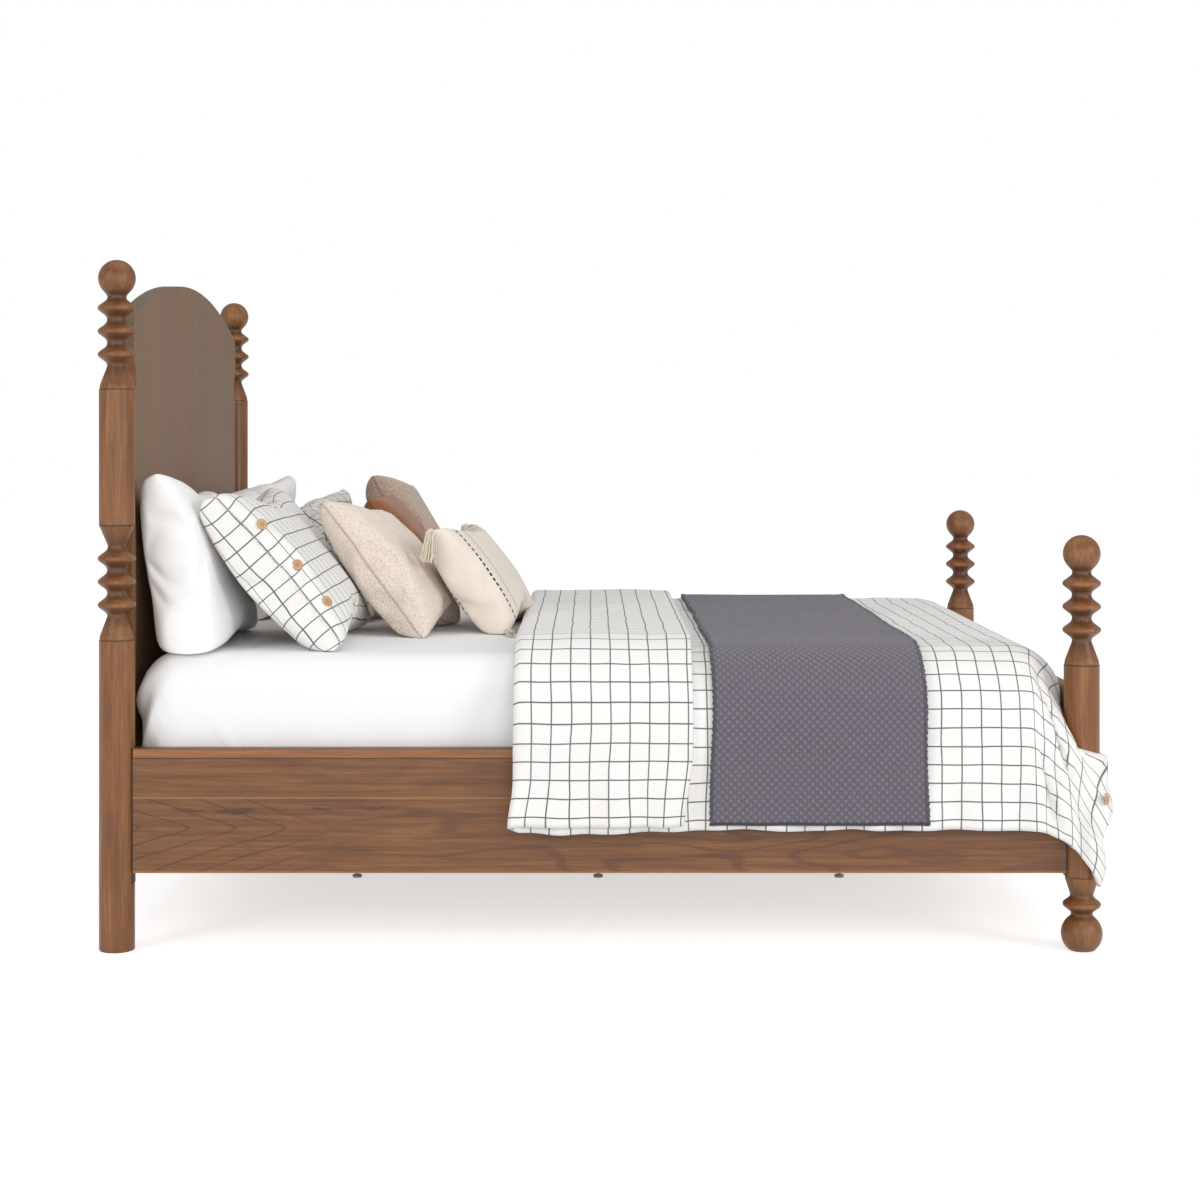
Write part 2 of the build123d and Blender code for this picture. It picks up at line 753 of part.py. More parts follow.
def beam_brackets():
    """Steel saddles that hang the beam's ends on the two boards."""
    inner_width = beam_width + 2 * bracket_clearance
    outer_width = inner_width + 2 * bracket_thickness
    height = beam_height + bracket_thickness + bracket_clearance
    mid_z = slat_bottom_z - height / 2
    with BuildPart() as brackets:
        for x, inward in ((stile_front_x, 1), (footboard_inner_x, -1)):
            with Locations((x + inward * bracket_length / 2, 0, mid_z)):
                Box(bracket_length, outer_width, height)
            hollow_x = x + inward * (bracket_thickness + bracket_length / 2)
            with Locations((hollow_x, 0, mid_z + bracket_thickness)):
                Box(bracket_length, inner_width, height, mode=Mode.SUBTRACT)
    return brackets


def centre_legs():
    """Square legs under the beam, drilled for their levelling glides."""
    height = beam_bottom_z - centre_leg_foot_gap
    hole_depth = glide_pad_height + glide_stem_length - centre_leg_foot_gap + glide_clearance
    with BuildPart() as legs:
        with GridLocations(centre_leg_spacing, 0, centre_leg_count, 1):
            with Locations((rail_mid_x, 0, centre_leg_foot_gap + height / 2)):
                Box(centre_leg_width, centre_leg_width, height)
        with GridLocations(centre_leg_spacing, 0, centre_leg_count, 1):
            with Locations(Location((rail_mid_x, 0, centre_leg_foot_gap), (180, 0, 0))):
                Hole(radius=glide_stem_r + glide_clearance, depth=hole_depth)
    return legs


def levelling_glides():
    """Screw-in glides that carry the centre legs."""
    with BuildPart() as glides:
        with GridLocations(centre_leg_spacing, 0, centre_leg_count, 1):
            with Locations((rail_mid_x, 0, glide_pad_height / 2)):
                Cylinder(glide_pad_r, glide_pad_height)
            with Locations((rail_mid_x, 0, glide_pad_height + glide_stem_length / 2)):
                Cylinder(glide_stem_r, glide_stem_length)
    return glides


def padded_block(margin, bottom_z, top_z):
    """The mattress's rounded form, grown by a margin all round."""
    with BuildPart() as block:
        with BuildSketch(Plane(origin=(mattress_x, 0, bottom_z))):
            length = mattress_length + 2 * margin
            width = mattress_width + 2 * margin
            RectangleRounded(length, width, mattress_corner_r + margin)
        extrude(amount=top_z - bottom_z)
        fillet(block.edges().group_by(Axis.Z)[-1], mattress_edge_r + margin)
    return block


def fitted_sheet():
    """Sheet stretched over the mattress, open underneath."""
    bottom_z = slat_top_z + sheet_hem_rise
    outside = padded_block(soft_gap + sheet_thickness, bottom_z, sheet_top_z)
    inside = padded_block(soft_gap, bottom_z, sheet_gap_top_z)
    with BuildPart() as sheet:
        add(outside.part)
        add(inside.part, mode=Mode.SUBTRACT)
    return sheet


def drape_outline(reach, top_z, hem_z):
    """Outline across the bed of cloth that hangs over both rails, with sloping shoulders."""
    shoulder_y = reach - shoulder_slope_in
    shoulder_z = top_z - shoulder_slope_drop
    corners = [((reach, shoulder_z), shoulder_curve_r), ((shoulder_y, top_z), shoulder_curve_r)]
    corners += [((-y, z), radius) for (y, z), radius in reversed(corners)]
    rounded_line((reach, hem_z), corners, (-reach, hem_z))
    Line((-reach, hem_z), (reach, hem_z))


def duvet():
    """Duvet over the mattress: flaps outside the rails, foot end tucked behind the footboard."""
    hollow = padded_block(soft_gap + sheet_thickness + soft_gap, 0, bed_top_z)
    across = Plane(origin=(duvet_head_x, 0, 0), x_dir=(0, 1, 0), z_dir=(1, 0, 0))
    side_z = bed_top_z - mattress_edge_r
    with BuildPart() as quilt:
        for length, bulge, extra in (
            (tail_outer_x - duvet_head_x, 0, 0),
            (turned_back_length, turned_back_bulge, turned_back_extra),
        ):
            with BuildSketch(across):
                with BuildLine():
                    drape_outline(flap_outer_y + bulge, duvet_top_z + extra, duvet_hem_z)
                make_face()
            extrude(amount=length)
        add(hollow.part, mode=Mode.SUBTRACT)
        # Room for the rails and the mattress's sides under the shoulders
        for side in SIDES.values():
            with BuildSketch(across):
                with BuildLine():
                    Polyline(
                        (side * tail_half_y, 0),
                        (side * flap_inner_y, 0),
                        (side * flap_inner_y, side_z - flap_thickness),
                        (side * sheet_half_y, side_z + flap_thickness),
                        (side * tail_half_y, side_z + flap_thickness),
                        close=True,
                    )
                make_face()
            extrude(amount=tail_inner_x - duvet_head_x, mode=Mode.SUBTRACT)
        # Behind the mattress only the tail is left, between the posts
        behind = tail_outer_x - tail_inner_x
        behind_x = tail_inner_x + behind / 2
        for side in SIDES.values():
            gap_y = side * (tail_half_y + flap_inner_y) / 2
            with Locations((behind_x, gap_y, duvet_top_z / 2)):
                Box(behind, flap_inner_y - tail_half_y, duvet_top_z, mode=Mode.SUBTRACT)
        with Locations((behind_x, 0, tail_bottom_z / 2)):
            Box(behind, 2 * tail_half_y, tail_bottom_z, mode=Mode.SUBTRACT)
        # The top slopes down towards the foot
        slope_x = tail_outer_x - foot_slope_length
        with BuildSketch(upright_plane(0, 0, 0)):
            with BuildLine():
                Polyline(
                    (slope_x, duvet_top_z),
                    (tail_outer_x, duvet_top_z - foot_slope_drop),
                    (tail_outer_x, duvet_top_z),
                    close=True,
                )
            make_face()
        extrude(amount=flap_outer_y, both=True, mode=Mode.SUBTRACT)
        # Loose corners of the flaps, which pass outside the foot posts
        for side in SIDES.values():
            with BuildSketch(upright_plane(0, side * flap_inner_y, 0)):
                with BuildLine():
                    Polyline(
                        (slope_x, duvet_hem_z),
                        (slope_x, side_z - flap_thickness),
                        (tail_inner_x, side_z - flap_thickness),
                        (corner_x, duvet_hem_z + corner_rise),
                        (corner_x, duvet_hem_z - corner_front_drop),
                        (foot_x + flap_thickness, duvet_hem_z - corner_drop),
                        (foot_x - flap_thickness, duvet_hem_z - corner_back_drop),
                        (tail_inner_x - flap_thickness, duvet_hem_z),
                        close=True,
                    )
                make_face()
            extrude(amount=-side * flap_thickness)
    return quilt


def throw_blanket():
    """Blanket laid across the duvet and hanging over both of its flaps."""
    across = Plane(origin=(throw_head_x, 0, 0), x_dir=(0, 1, 0), z_dir=(1, 0, 0))
    inner_reach = flap_outer_y + soft_gap
    inner_top_z = duvet_top_z + soft_gap
    with BuildPart() as blanket:
        with BuildSketch(across):
            with BuildLine():
                outer_reach = inner_reach + throw_thickness
                drape_outline(outer_reach, inner_top_z + throw_thickness, throw_hem_z)
            make_face()
        extrude(amount=throw_width)
        with BuildSketch(across):
            with BuildLine():
                drape_outline(inner_reach, inner_top_z, 0)
            make_face()
        extrude(amount=throw_width, mode=Mode.SUBTRACT)
    return blanket


class Cushion:
    """A cushion's width, height and fullness, where its middle is, and how it leans and turns."""

    def __init__(self, width, height, fullness, y, lean, turn=0.0):
        self.width = width
        self.height = height
        self.fullness = fullness
        self.lean = math.radians(lean)
        self.turn = math.radians(turn)
        self.y = y
        self.x = 0.0

    def reach(self):
        """Half its fullness measured level, and what its turned ends add to that."""
        swing = cushion_sections[0][0] * self.width / 2 * abs(math.sin(self.turn))
        return self.fullness / 2 / math.cos(self.lean) + swing

    def stand_against(self, wall_x):
        """Lean on an upright board behind the cushion."""
        reaches = []
        for share, depth in cushion_sections:
            back = (1 + share) * self.height / 2 * math.sin(self.lean)
            reaches.append(back - depth * self.fullness * math.cos(self.lean))
        self.x = wall_x + max(reaches) + soft_gap

    def rest_on(self, back):
        """Lean on the cushion behind: high up if this one leans further back, else low down."""
        share = high_contact if self.lean > back.lean else low_contact
        contact = share * back.height * math.cos(back.lean)
        shift = contact * (math.tan(self.lean) - math.tan(back.lean))
        self.x = back.x + back.reach() + self.reach() + shift + soft_gap

    def plane(self):
        """Middle plane, with x along the width and y up the height from the bottom edge."""
        dips = []
        for share, depth in cushion_sections:
            rise = (1 - share) * self.height / 2 * math.cos(self.lean)
            dips.append(rise + depth * self.fullness * math.sin(self.lean))
        across = (math.sin(self.turn), math.cos(self.turn), 0)
        level = math.cos(self.lean)
        face = (level * math.cos(self.turn), -level * math.sin(self.turn), math.sin(self.lean))
        origin = (self.x, self.y, bed_top_z - min(dips))
        return Plane(origin=origin, x_dir=across, z_dir=face)

    def solid(self):
        """Stuffed form: rounded outlines that shrink to both sides of the middle plane."""
        middle = self.plane()
        corner_r = cushion_corner_share * min(self.width, self.height)
        with BuildPart() as stuffed:
            for share, depth in cushion_sections:
                with BuildSketch(middle.offset(depth * self.fullness)):
                    with Locations((0, self.height / 2)):
                        RectangleRounded(self.width * share, self.height * share, corner_r * share)
            loft(ruled=True)
        return stuffed


# Cushions from the headboard forwards. Pillows and shams come in pairs.
pillow = {}
sham = {}
for name, side in SIDES.items():
    y = side * (pillow_gap + pillow_width) / 2
    pillow[name] = Cushion(pillow_width, pillow_height, pillow_fullness, y, pillow_lean)
    pillow[name].stand_against(stile_front_x)
    y = side * (sham_gap + sham_width) / 2
    sham[name] = Cushion(sham_width, sham_height, sham_fullness, y, sham_lean)
    sham[name].rest_on(pillow[name])

mattress_side_y = mattress_width / 2
y = boucle_left_inset - mattress_side_y
boucle_left = Cushion(
    boucle_left_width, boucle_left_height, boucle_left_fullness, y, boucle_left_lean, boucle_left_turn
)
boucle_left.rest_on(sham["left"])
y = mattress_side_y - rust_inset
rust = Cushion(rust_width, rust_height, rust_fullness, y, rust_lean)
rust.rest_on(sham["right"])
y = mattress_side_y - boucle_right_inset
boucle_right = Cushion(
    boucle_right_width, boucle_right_height, boucle_right_fullness, y, boucle_right_lean
)
boucle_right.rest_on(sham["right"])
y = lumbar_inset - mattress_side_y
lumbar = Cushion(lumbar_width, lumbar_height, lumbar_fullness, y, lumbar_lean)
lumbar.rest_on(boucle_left)


def button_on(origin, outward):
    """Four-hole wooden button that lies on a face."""
    face = Plane(origin=origin, z_dir=outward).offset(soft_gap)
    with BuildPart() as button:
        with BuildSketch(face):
            Circle(button_r)
            with GridLocations(button_hole_spacing, button_hole_spacing, 2, 2):
                Circle(button_hole_r, mode=Mode.SUBTRACT)
        extrude(amount=button_thickness)
    return button


def wooden_buttons():
    """Three buttons on the placket of each sham and one at each loose corner of the duvet."""
    buttons = []
    wide, wide_depth = cushion_sections[2]
    narrow, narrow_depth = cushion_sections[3]
    for name, side in SIDES.items():
        case = sham[name]
        middle = case.plane()
        run = case.width / 2 * (wide - narrow)
        rise = case.fullness * (narrow_depth - wide_depth)
        across = side * case.width / 2 * (wide + narrow) / 2
        for step in (-1, 0, 1):
            up = case.height / 2 + step * sham_button_spacing
            origin = middle.from_local_coords((across, up, rise / 2))
            tip = middle.from_local_coords((across + side * rise, up, rise / 2 + run))
            buttons.append(button_on(origin, tip - origin))
        corner = (corner_x - duvet_button_inset, side * flap_outer_y, duvet_hem_z + duvet_button_rise)
        buttons.append(button_on(corner, (0, side, 0)))
    with BuildPart() as group:
        for button in buttons:
            add(button.part)
    return group


def lumbar_tassels():
    """A tassel at each corner: the upper two hang, the lower two lie on the sheet."""
    middle = lumbar.plane()
    corner_r = cushion_corner_share * min(lumbar.width, lumbar.height)
    head_r = tassel_head_r
    spots = []
    for side in SIDES.values():
        across = side * (lumbar.width / 2 + head_r + soft_gap)
        top = middle.from_local_coords((across, lumbar.height - corner_r, 0))
        bottom = middle.from_local_coords((across, corner_r, 0))
        spots.append(Plane(origin=top, x_dir=(1, 0, 0), z_dir=(0, 1, 0)))
        spots.append(Plane(origin=bottom, x_dir=(1, 0, 0), z_dir=(0, 0, side)))
    with BuildPart() as tassels:
        for spot in spots:
            with BuildSketch(spot):
                with BuildLine():
                    bob = CenterArc((0, 0), head_r, -90, 150)
                    Polyline(bob @ 1, (tassel_skirt_r, tassel_length), (0, tassel_length), bob @ 0)
                make_face()
            revolve(axis=Axis(spot.origin, spot.y_dir))
    return tassels


os.makedirs("parts", exist_ok=True)

for name, side in SIDES.items():
    y = side * post_y
    save(head_leg(side), f"head_leg_{name}")
    spindle = turned_piece(head_x, y, head_spindle_z, spindle_outline, True, head_spindle_height)
    save(spindle, f"head_spindle_{name}")
    save(head_post(side), f"head_post_{name}")
    save(turned_piece(head_x, y, head_finial_z, finial_outline, True, 0), f"head_finial_{name}")
    save(turned_piece(foot_x, y, 0, bun_outline, False, bun_height), f"bun_foot_{name}")
    save(foot_post(side), f"foot_post_{name}")
    save(turned_piece(foot_x, y, foot_finial_z, finial_outline, True, 0), f"foot_finial_{name}")
    save(headboard_stile(side), f"headboard_stile_{name}")
    save(side_rail(side), f"side_rail_{name}")
    save(rail_cap(side), f"rail_cap_{name}")
    save(slat_ledger(side), f"slat_ledger_{name}")
    save(pillow[name].solid(), f"pillow_{name}")
    save(sham[name].solid(), f"checked_sham_{name}")

save(headboard_rail(), "headboard_rail")
save(headboard_panel(), "headboard_panel")
save(footboard_panel(), "footboard_panel")
save(post_rods(), "post_rods")
save(rail_plates(), "rail_plates")
save(corner_bolts(), "corner_bolts")
save(barrel_nuts(), "barrel_nuts")

for number, x in enumerate(slat_places, start=1):
    save(slat(x), f"slat_{number:02d}")
save(slat_screws(), "slat_screws")
save(centre_beam(), "centre_beam")
save(beam_brackets(), "beam_brackets")
save(centre_legs(), "centre_legs")
save(levelling_glides(), "levelling_glides")

save(padded_block(0, slat_top_z, mattress_top_z), "mattress")
save(fitted_sheet(), "fitted_sheet")
save(duvet(), "duvet")
save(throw_blanket(), "throw_blanket")
save(boucle_left.solid(), "boucle_cushion_left")
save(boucle_right.solid(), "boucle_cushion_right")
save(rust.solid(), "rust_cushion")
save(lumbar.solid(), "lumbar_cushion")
save(wooden_buttons(), "wooden_buttons")
save(lumbar_tassels(), "lumbar_tassels")
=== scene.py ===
# %% [markdown]
# # A dressed panel bed
# The wooden frame comes from the CAD model, which is loaded first and never changed. Blender
# adds what CAD leaves plain: the wood's stain and grain, and the soft bedding with its folds.
# All of it is in metres, with +X from the headboard to the footboard and +Z up.

import math
import random

import bmesh
import bpy
from mathutils import Matrix, Vector, noise


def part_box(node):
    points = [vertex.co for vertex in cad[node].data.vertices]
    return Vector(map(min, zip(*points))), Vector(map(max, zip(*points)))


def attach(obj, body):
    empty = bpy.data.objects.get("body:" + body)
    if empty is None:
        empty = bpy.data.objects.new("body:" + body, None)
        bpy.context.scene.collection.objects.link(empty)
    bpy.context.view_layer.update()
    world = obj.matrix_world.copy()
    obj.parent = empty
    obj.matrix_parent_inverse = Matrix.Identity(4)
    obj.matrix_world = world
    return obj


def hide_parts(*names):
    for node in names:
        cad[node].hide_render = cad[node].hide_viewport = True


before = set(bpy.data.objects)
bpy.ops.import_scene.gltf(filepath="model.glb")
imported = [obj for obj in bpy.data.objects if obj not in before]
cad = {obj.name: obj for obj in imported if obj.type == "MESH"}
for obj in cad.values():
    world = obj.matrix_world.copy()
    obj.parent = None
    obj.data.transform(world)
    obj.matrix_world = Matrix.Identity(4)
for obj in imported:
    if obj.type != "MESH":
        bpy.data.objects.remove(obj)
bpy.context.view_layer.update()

# %% [markdown]
# ## Camera
# The photograph is taken level, from the side of the bed and a little above the mattress. Its
# uprights stay parallel, as with a view camera whose lens is shifted down, so the camera here
# looks straight ahead too and the frame is lowered with shift_y instead of a tilt.

# %% Camera
photo_size = 1200
focal_px = 2174.7
principal_px = (591.2, 434.6)
camera = bpy.data.objects.new("camera", bpy.data.cameras.new("camera"))
bpy.context.scene.collection.objects.link(camera)
camera.location = (-0.0231, -5.596, 1.138)
camera.rotation_euler = (math.radians(90), 0, 0)
camera.data.sensor_width = 36
camera.data.lens = camera.data.sensor_width * focal_px / photo_size
camera.data.shift_x = 0.5 - principal_px[0] / photo_size
camera.data.shift_y = principal_px[1] / photo_size - 0.5
bpy.context.scene.camera = camera
print("lens", round(camera.data.lens, 2), "mm")

# %% [markdown]
# ## Colours and nodes
# Shaders work in linear light, while a colour picked from a screen is in sRGB, so one function
# turns hex values to linear. Another adds a node, sets its options and joins its inputs.

# %% Helpers for materials
def colour(code, alpha=1.0):
    """Linear colour for an sRGB hex value."""
    channels = [int(code[i : i + 2], 16) / 255 for i in (1, 3, 5)]
    linear = [c / 12.92 if c <= 0.04045 else ((c + 0.055) / 1.055) ** 2.4 for c in channels]
    return (*linear, alpha)


def first_output(node):
    """The output that a node has for its settings, or the first of several."""
    return next(socket for socket in node.outputs if socket.enabled)


def add(tree, kind, inputs=(), operation=None, stops=None, **options):
    """Add a shader node. Inputs, by place or by name, are values, sockets or nodes to link.

    A MapRange takes, in this order, a value, the two ends of its range and what each end becomes.
    """
    made = tree.nodes.new("ShaderNode" + kind)
    if operation:
        made.operation = operation
    for name, value in options.items():
        setattr(made, name, value)
    for name, value in inputs.items() if isinstance(inputs, dict) else enumerate(inputs):
        if isinstance(value, bpy.types.Node):
            value = first_output(value)
        if isinstance(value, bpy.types.NodeSocket):
            tree.links.new(value, made.inputs[name])
        else:
            made.inputs[name].default_value = value
    if stops:
        ramp = made.color_ramp.elements
        ramp.remove(ramp[-1])
        ramp[0].position, ramp[0].color = stops[0]
        for place, shade in stops[1:]:
            ramp.new(place).color = shade
    return made


def new_material(name, roughness, **values):
    """A material with one principled shader, whose constant values are set on its own sockets."""
    made = bpy.data.materials.new(name)
    made.use_nodes = True
    tree = made.node_tree
    shader = tree.nodes["Principled BSDF"]
    shader.inputs["Roughness"].default_value = roughness
    for socket, value in values.items():
        shader.inputs[socket.replace("_", " ")].default_value = value
    return made, tree, shader


def cover(tree, shader, shade, height=None, strength=0.0, depth=0.0):
    """Give the shader its colour and, from a height, a bump that is depth metres deep."""
    tree.links.new(first_output(shade), shader.inputs["Base Color"])
    if height:
        bump = add(tree, "Bump", {"Strength": strength, "Distance": depth, "Height": height})
        tree.links.new(first_output(bump), shader.inputs["Normal"])


def band(tree, place, middle, full, faded, strength):
    """A soft band: at its strength up to a distance from the middle, then fading to nothing."""
    off = add(tree, "Math", [place, middle], "SUBTRACT")
    off = add(tree, "Math", [off], "ABSOLUTE")
    return add(tree, "MapRange", [off, full, faded, strength, 0.0])


def object_xyz(tree):
    """The object's own coordinates in metres, one output for each axis."""
    return add(tree, "SeparateXYZ", [add(tree, "TexCoord").outputs["Object"]])


def dress(names, material):
    """Give CAD nodes a material."""
    for name in names:
        for slot in cad[name].material_slots:
            slot.material = material


# %% [markdown]
# ## Floor and light
# A studio sweep is a white floor that the lens sees without an edge. The floor and the world
# are white to the camera and to reflections, and the lamps stay at a level where a colour
# renders about as it is written. Two large softboxes in front give the posts their two
# upright highlights.

# %% Floor and world
# How bright the floor is to the lens and to reflections, on top of its own light, and the sky
floor_glow = 0.60
sky_level = 0.50
floor_bm = bmesh.new()
bmesh.ops.create_grid(floor_bm, x_segments=2, y_segments=2, size=30)
floor_mesh = bpy.data.meshes.new("floor")
floor_bm.to_mesh(floor_mesh)
floor_bm.free()
floor = bpy.data.objects.new("floor", floor_mesh)
bpy.context.scene.collection.objects.link(floor)

sweep, tree, shader = new_material("painted_studio_sweep", 0.9)
shader.inputs["Base Color"].default_value = colour("#EDEDED")
rays = add(tree, "LightPath")
seen = add(tree, "Math", [rays.outputs["Is Camera Ray"], rays.outputs["Is Glossy Ray"]])
seen = add(tree, "Math", [seen, rays.outputs["Is Transmission Ray"]])
strength = add(tree, "Math", [seen, floor_glow], "MULTIPLY")
glow = add(tree, "Emission", {"Color": (1, 1, 1, 1), "Strength": strength})
lit = add(tree, "AddShader", [shader, glow])
tree.links.new(first_output(lit), tree.nodes["Material Output"].inputs["Surface"])
floor.data.materials.append(sweep)

world = bpy.data.worlds.new("studio")
bpy.context.scene.world = world
world.use_nodes = True
tree = world.node_tree
rays = add(tree, "LightPath")
level = add(tree, "MapRange", [rays.outputs["Is Camera Ray"], 0.0, 1.0, sky_level, 1.0])
sky = tree.nodes["Background"]
sky.inputs["Color"].default_value = (1, 1, 1, 1)
tree.links.new(first_output(level), sky.inputs["Strength"])
bpy.context.scene.view_settings.view_transform = "Standard"

# %% Softboxes
bed_middle = Vector((0.0, 0.0, 0.6))


def softbox(name, place, width, height, watts):
    """A rectangular lamp that looks at the middle of the bed."""
    lamp = bpy.data.lights.new(name, "AREA")
    lamp.shape = "RECTANGLE"
    lamp.size = width
    lamp.size_y = height
    lamp.energy = watts
    made = bpy.data.objects.new(name, lamp)
    bpy.context.scene.collection.objects.link(made)
    made.location = place
    aim = bed_middle - Vector(place)
    made.rotation_euler = aim.to_track_quat("-Z", "Y").to_euler()


softbox("softbox_left", (-4.2, -4.6, 2.6), 1.6, 2.6, 78)
softbox("softbox_right", (4.9, -4.0, 2.5), 1.9, 2.6, 112)
softbox("softbox_fill", (0.8, -7.4, 2.3), 5.0, 3.0, 138)
softbox("softbox_over", (0.3, -0.5, 4.6), 4.0, 3.0, 34)
print("lamps:", len(bpy.data.lights))

# %% [markdown]
# ## Stained and glazed wood
# The posts are turned from solid wood, stained brown, then wiped with a darker glaze that stays
# in the grooves, and sealed with a satin lacquer. The grain is noise stretched along the wood's
# length: a slow one for the bands of colour and a fine one for the pores. On the turnings the
# distance from the post's axis says how deep a groove is, and so how much glaze is left in it.

# %% Wood
# Width of the grain's dark streaks and of its pores, and how much longer they are than wide
streak_mm, streak_stretch = 4.0, 30.0
pore_mm, pore_stretch = 1.1, 26.0


def wood_finish(name, along, shades, roughness, seed, band_mm=22.0, length=18.0):
    """Stretched grain along an axis, in shades from dark to light. Returns the stain's node too."""
    made, tree, shader = new_material(name, roughness, IOR=1.5)
    place = add(tree, "TexCoord").outputs["Object"]
    shift = add(tree, "VectorMath", [place, (seed, seed * 0.7, seed * 1.3)])
    layers = []
    for size_mm, stretch in ((band_mm, length), (streak_mm, streak_stretch), (pore_mm, pore_stretch)):
        scale = [1000 / size_mm] * 3
        scale["XYZ".index(along)] /= stretch
        spot = add(tree, "Mapping", {"Vector": shift, "Scale": scale})
        layer = add(tree, "TexNoise", {"Vector": spot, "Scale": 1.0, "Detail": 3.0, "Roughness": 0.55})
        layers.append(layer)
    band, streak, pore = layers
    mixed = add(tree, "Mix", {"Factor": 0.45, 2: band, 3: streak}, data_type="FLOAT")
    mixed = add(tree, "Mix", {"Factor": 0.22, 2: mixed, 3: pore}, data_type="FLOAT")
    steps = [0.34, 0.5, 0.66]
    stain = add(
        tree,
        "ValToRGB",
        {"Fac": mixed},
        stops=[(step, colour(shade)) for step, shade in zip(steps, shades)],
    )
    cover(tree, shader, stain, pore, 0.12, 0.0006)
    return made, tree, shader, stain


# Where the posts' axes stand, and their radius in the bottom of a groove and where it ends
head_post_x = -1.0711
foot_post_x = 1.0609
post_y = 0.790
groove_r = 0.021
groove_end_r = 0.036


def turned_wood(name, joints, seed, groove_below=None, groove_above=None):
    """Post wood with glaze in the turned grooves, painted shade on its undersides and a painted shadow in the
    joint lines.
    """
    shades = ("#5C3312", "#7A4B24", "#96663A")
    made, tree, shader, stain = wood_finish(name, "Z", shades, 0.42, seed, band_mm=26.0, length=9.0)
    place = object_xyz(tree)
    # One formula finds the nearest of the four axes, as the posts stand in a rectangle
    middle_x = (head_post_x + foot_post_x) / 2
    half_x = (foot_post_x - head_post_x) / 2
    out_x = add(tree, "Math", [place.outputs[0], middle_x], "SUBTRACT")
    out_x = add(tree, "Math", [out_x], "ABSOLUTE")
    out_x = add(tree, "Math", [out_x, half_x], "SUBTRACT")
    out_y = add(tree, "Math", [place.outputs[1]], "ABSOLUTE")
    out_y = add(tree, "Math", [out_y, post_y], "SUBTRACT")
    from_axis = add(tree, "CombineXYZ", [out_x, out_y])
    radius = add(tree, "VectorMath", [from_axis], "LENGTH")
    shade = stain
    if groove_below or groove_above:
        depth = add(
            tree,
            "MapRange",
            [radius, groove_r, groove_end_r, 0.62, 0.0],
            interpolation_type="SMOOTHSTEP",
        )
        limit = groove_below or groove_above
        test = "LESS_THAN" if groove_below else "GREATER_THAN"
        inside = add(tree, "Math", [place.outputs[2], limit], test)
        glaze = add(tree, "Math", [depth, inside], "MULTIPLY")
        shade = add(tree, "Mix", {"Factor": glaze, 6: shade, 7: colour("#38200F")}, data_type="RGBA")
    # Painted shade: surfaces that face down are darkened, where less light falls on them
    facing = add(tree, "SeparateXYZ", [add(tree, "NewGeometry").outputs["Normal"]])
    underside_painted_shade = add(tree, "MapRange", [facing.outputs[2], -0.85, -0.15, 0.45, 0.0])
    shade = add(tree, "Mix", {"Factor": underside_painted_shade, 6: shade, 7: colour("#3E2412")}, data_type="RGBA")
    # Painted shadow: a thin dark line where one length of the post meets the next
    for joint in joints:
        line = band(tree, place.outputs[2], joint, 0.0008, 0.0022, 0.8)
        shade = add(tree, "Mix", {"Factor": line, 6: shade, 7: colour("#2E1B10")}, data_type="RGBA")
    cover(tree, shader, shade)
    return made


# Heights where one length of a post ends and the next begins
head_joints = (0.685, 0.938, 1.238)
foot_joints = (0.1635, 0.630)
plain_post = turned_wood("stained_wood_post", head_joints, 1.7)
head_turning = turned_wood("glazed_wood_head_turning", head_joints, 3.1, groove_below=1.47)
foot_plain = turned_wood("stained_wood_foot_post", foot_joints, 5.3)
foot_turning = turned_wood("glazed_wood_foot_turning", foot_joints, 7.9, groove_below=0.86)
bun_turning = turned_wood("glazed_wood_bun", foot_joints, 9.4, groove_above=0.045)
for end in ("left", "right"):
    dress([f"head_leg_{end}", f"head_post_{end}"], plain_post)
    dress([f"head_spindle_{end}", f"head_finial_{end}"], head_turning)
    dress([f"foot_post_{end}"], foot_plain)
    dress([f"foot_finial_{end}"], foot_turning)
    dress([f"bun_foot_{end}"], bun_turning)
print("wood materials:", len(bpy.data.materials))

# %% [markdown]
# ## Veneer
# The boards are faced with walnut-coloured veneer. On the headboard, narrow straight-grained
# leaves stand side by side and differ a little in tone, and a greyer strip covers the rim. Each
# rail has two leaves, one above the other: the upper is straight, the lower was cut through the
# heart of the log, so its rings show as long pointed arches with a few dark marks.

# %% Veneered boards
leaves_per_metre = 14.0


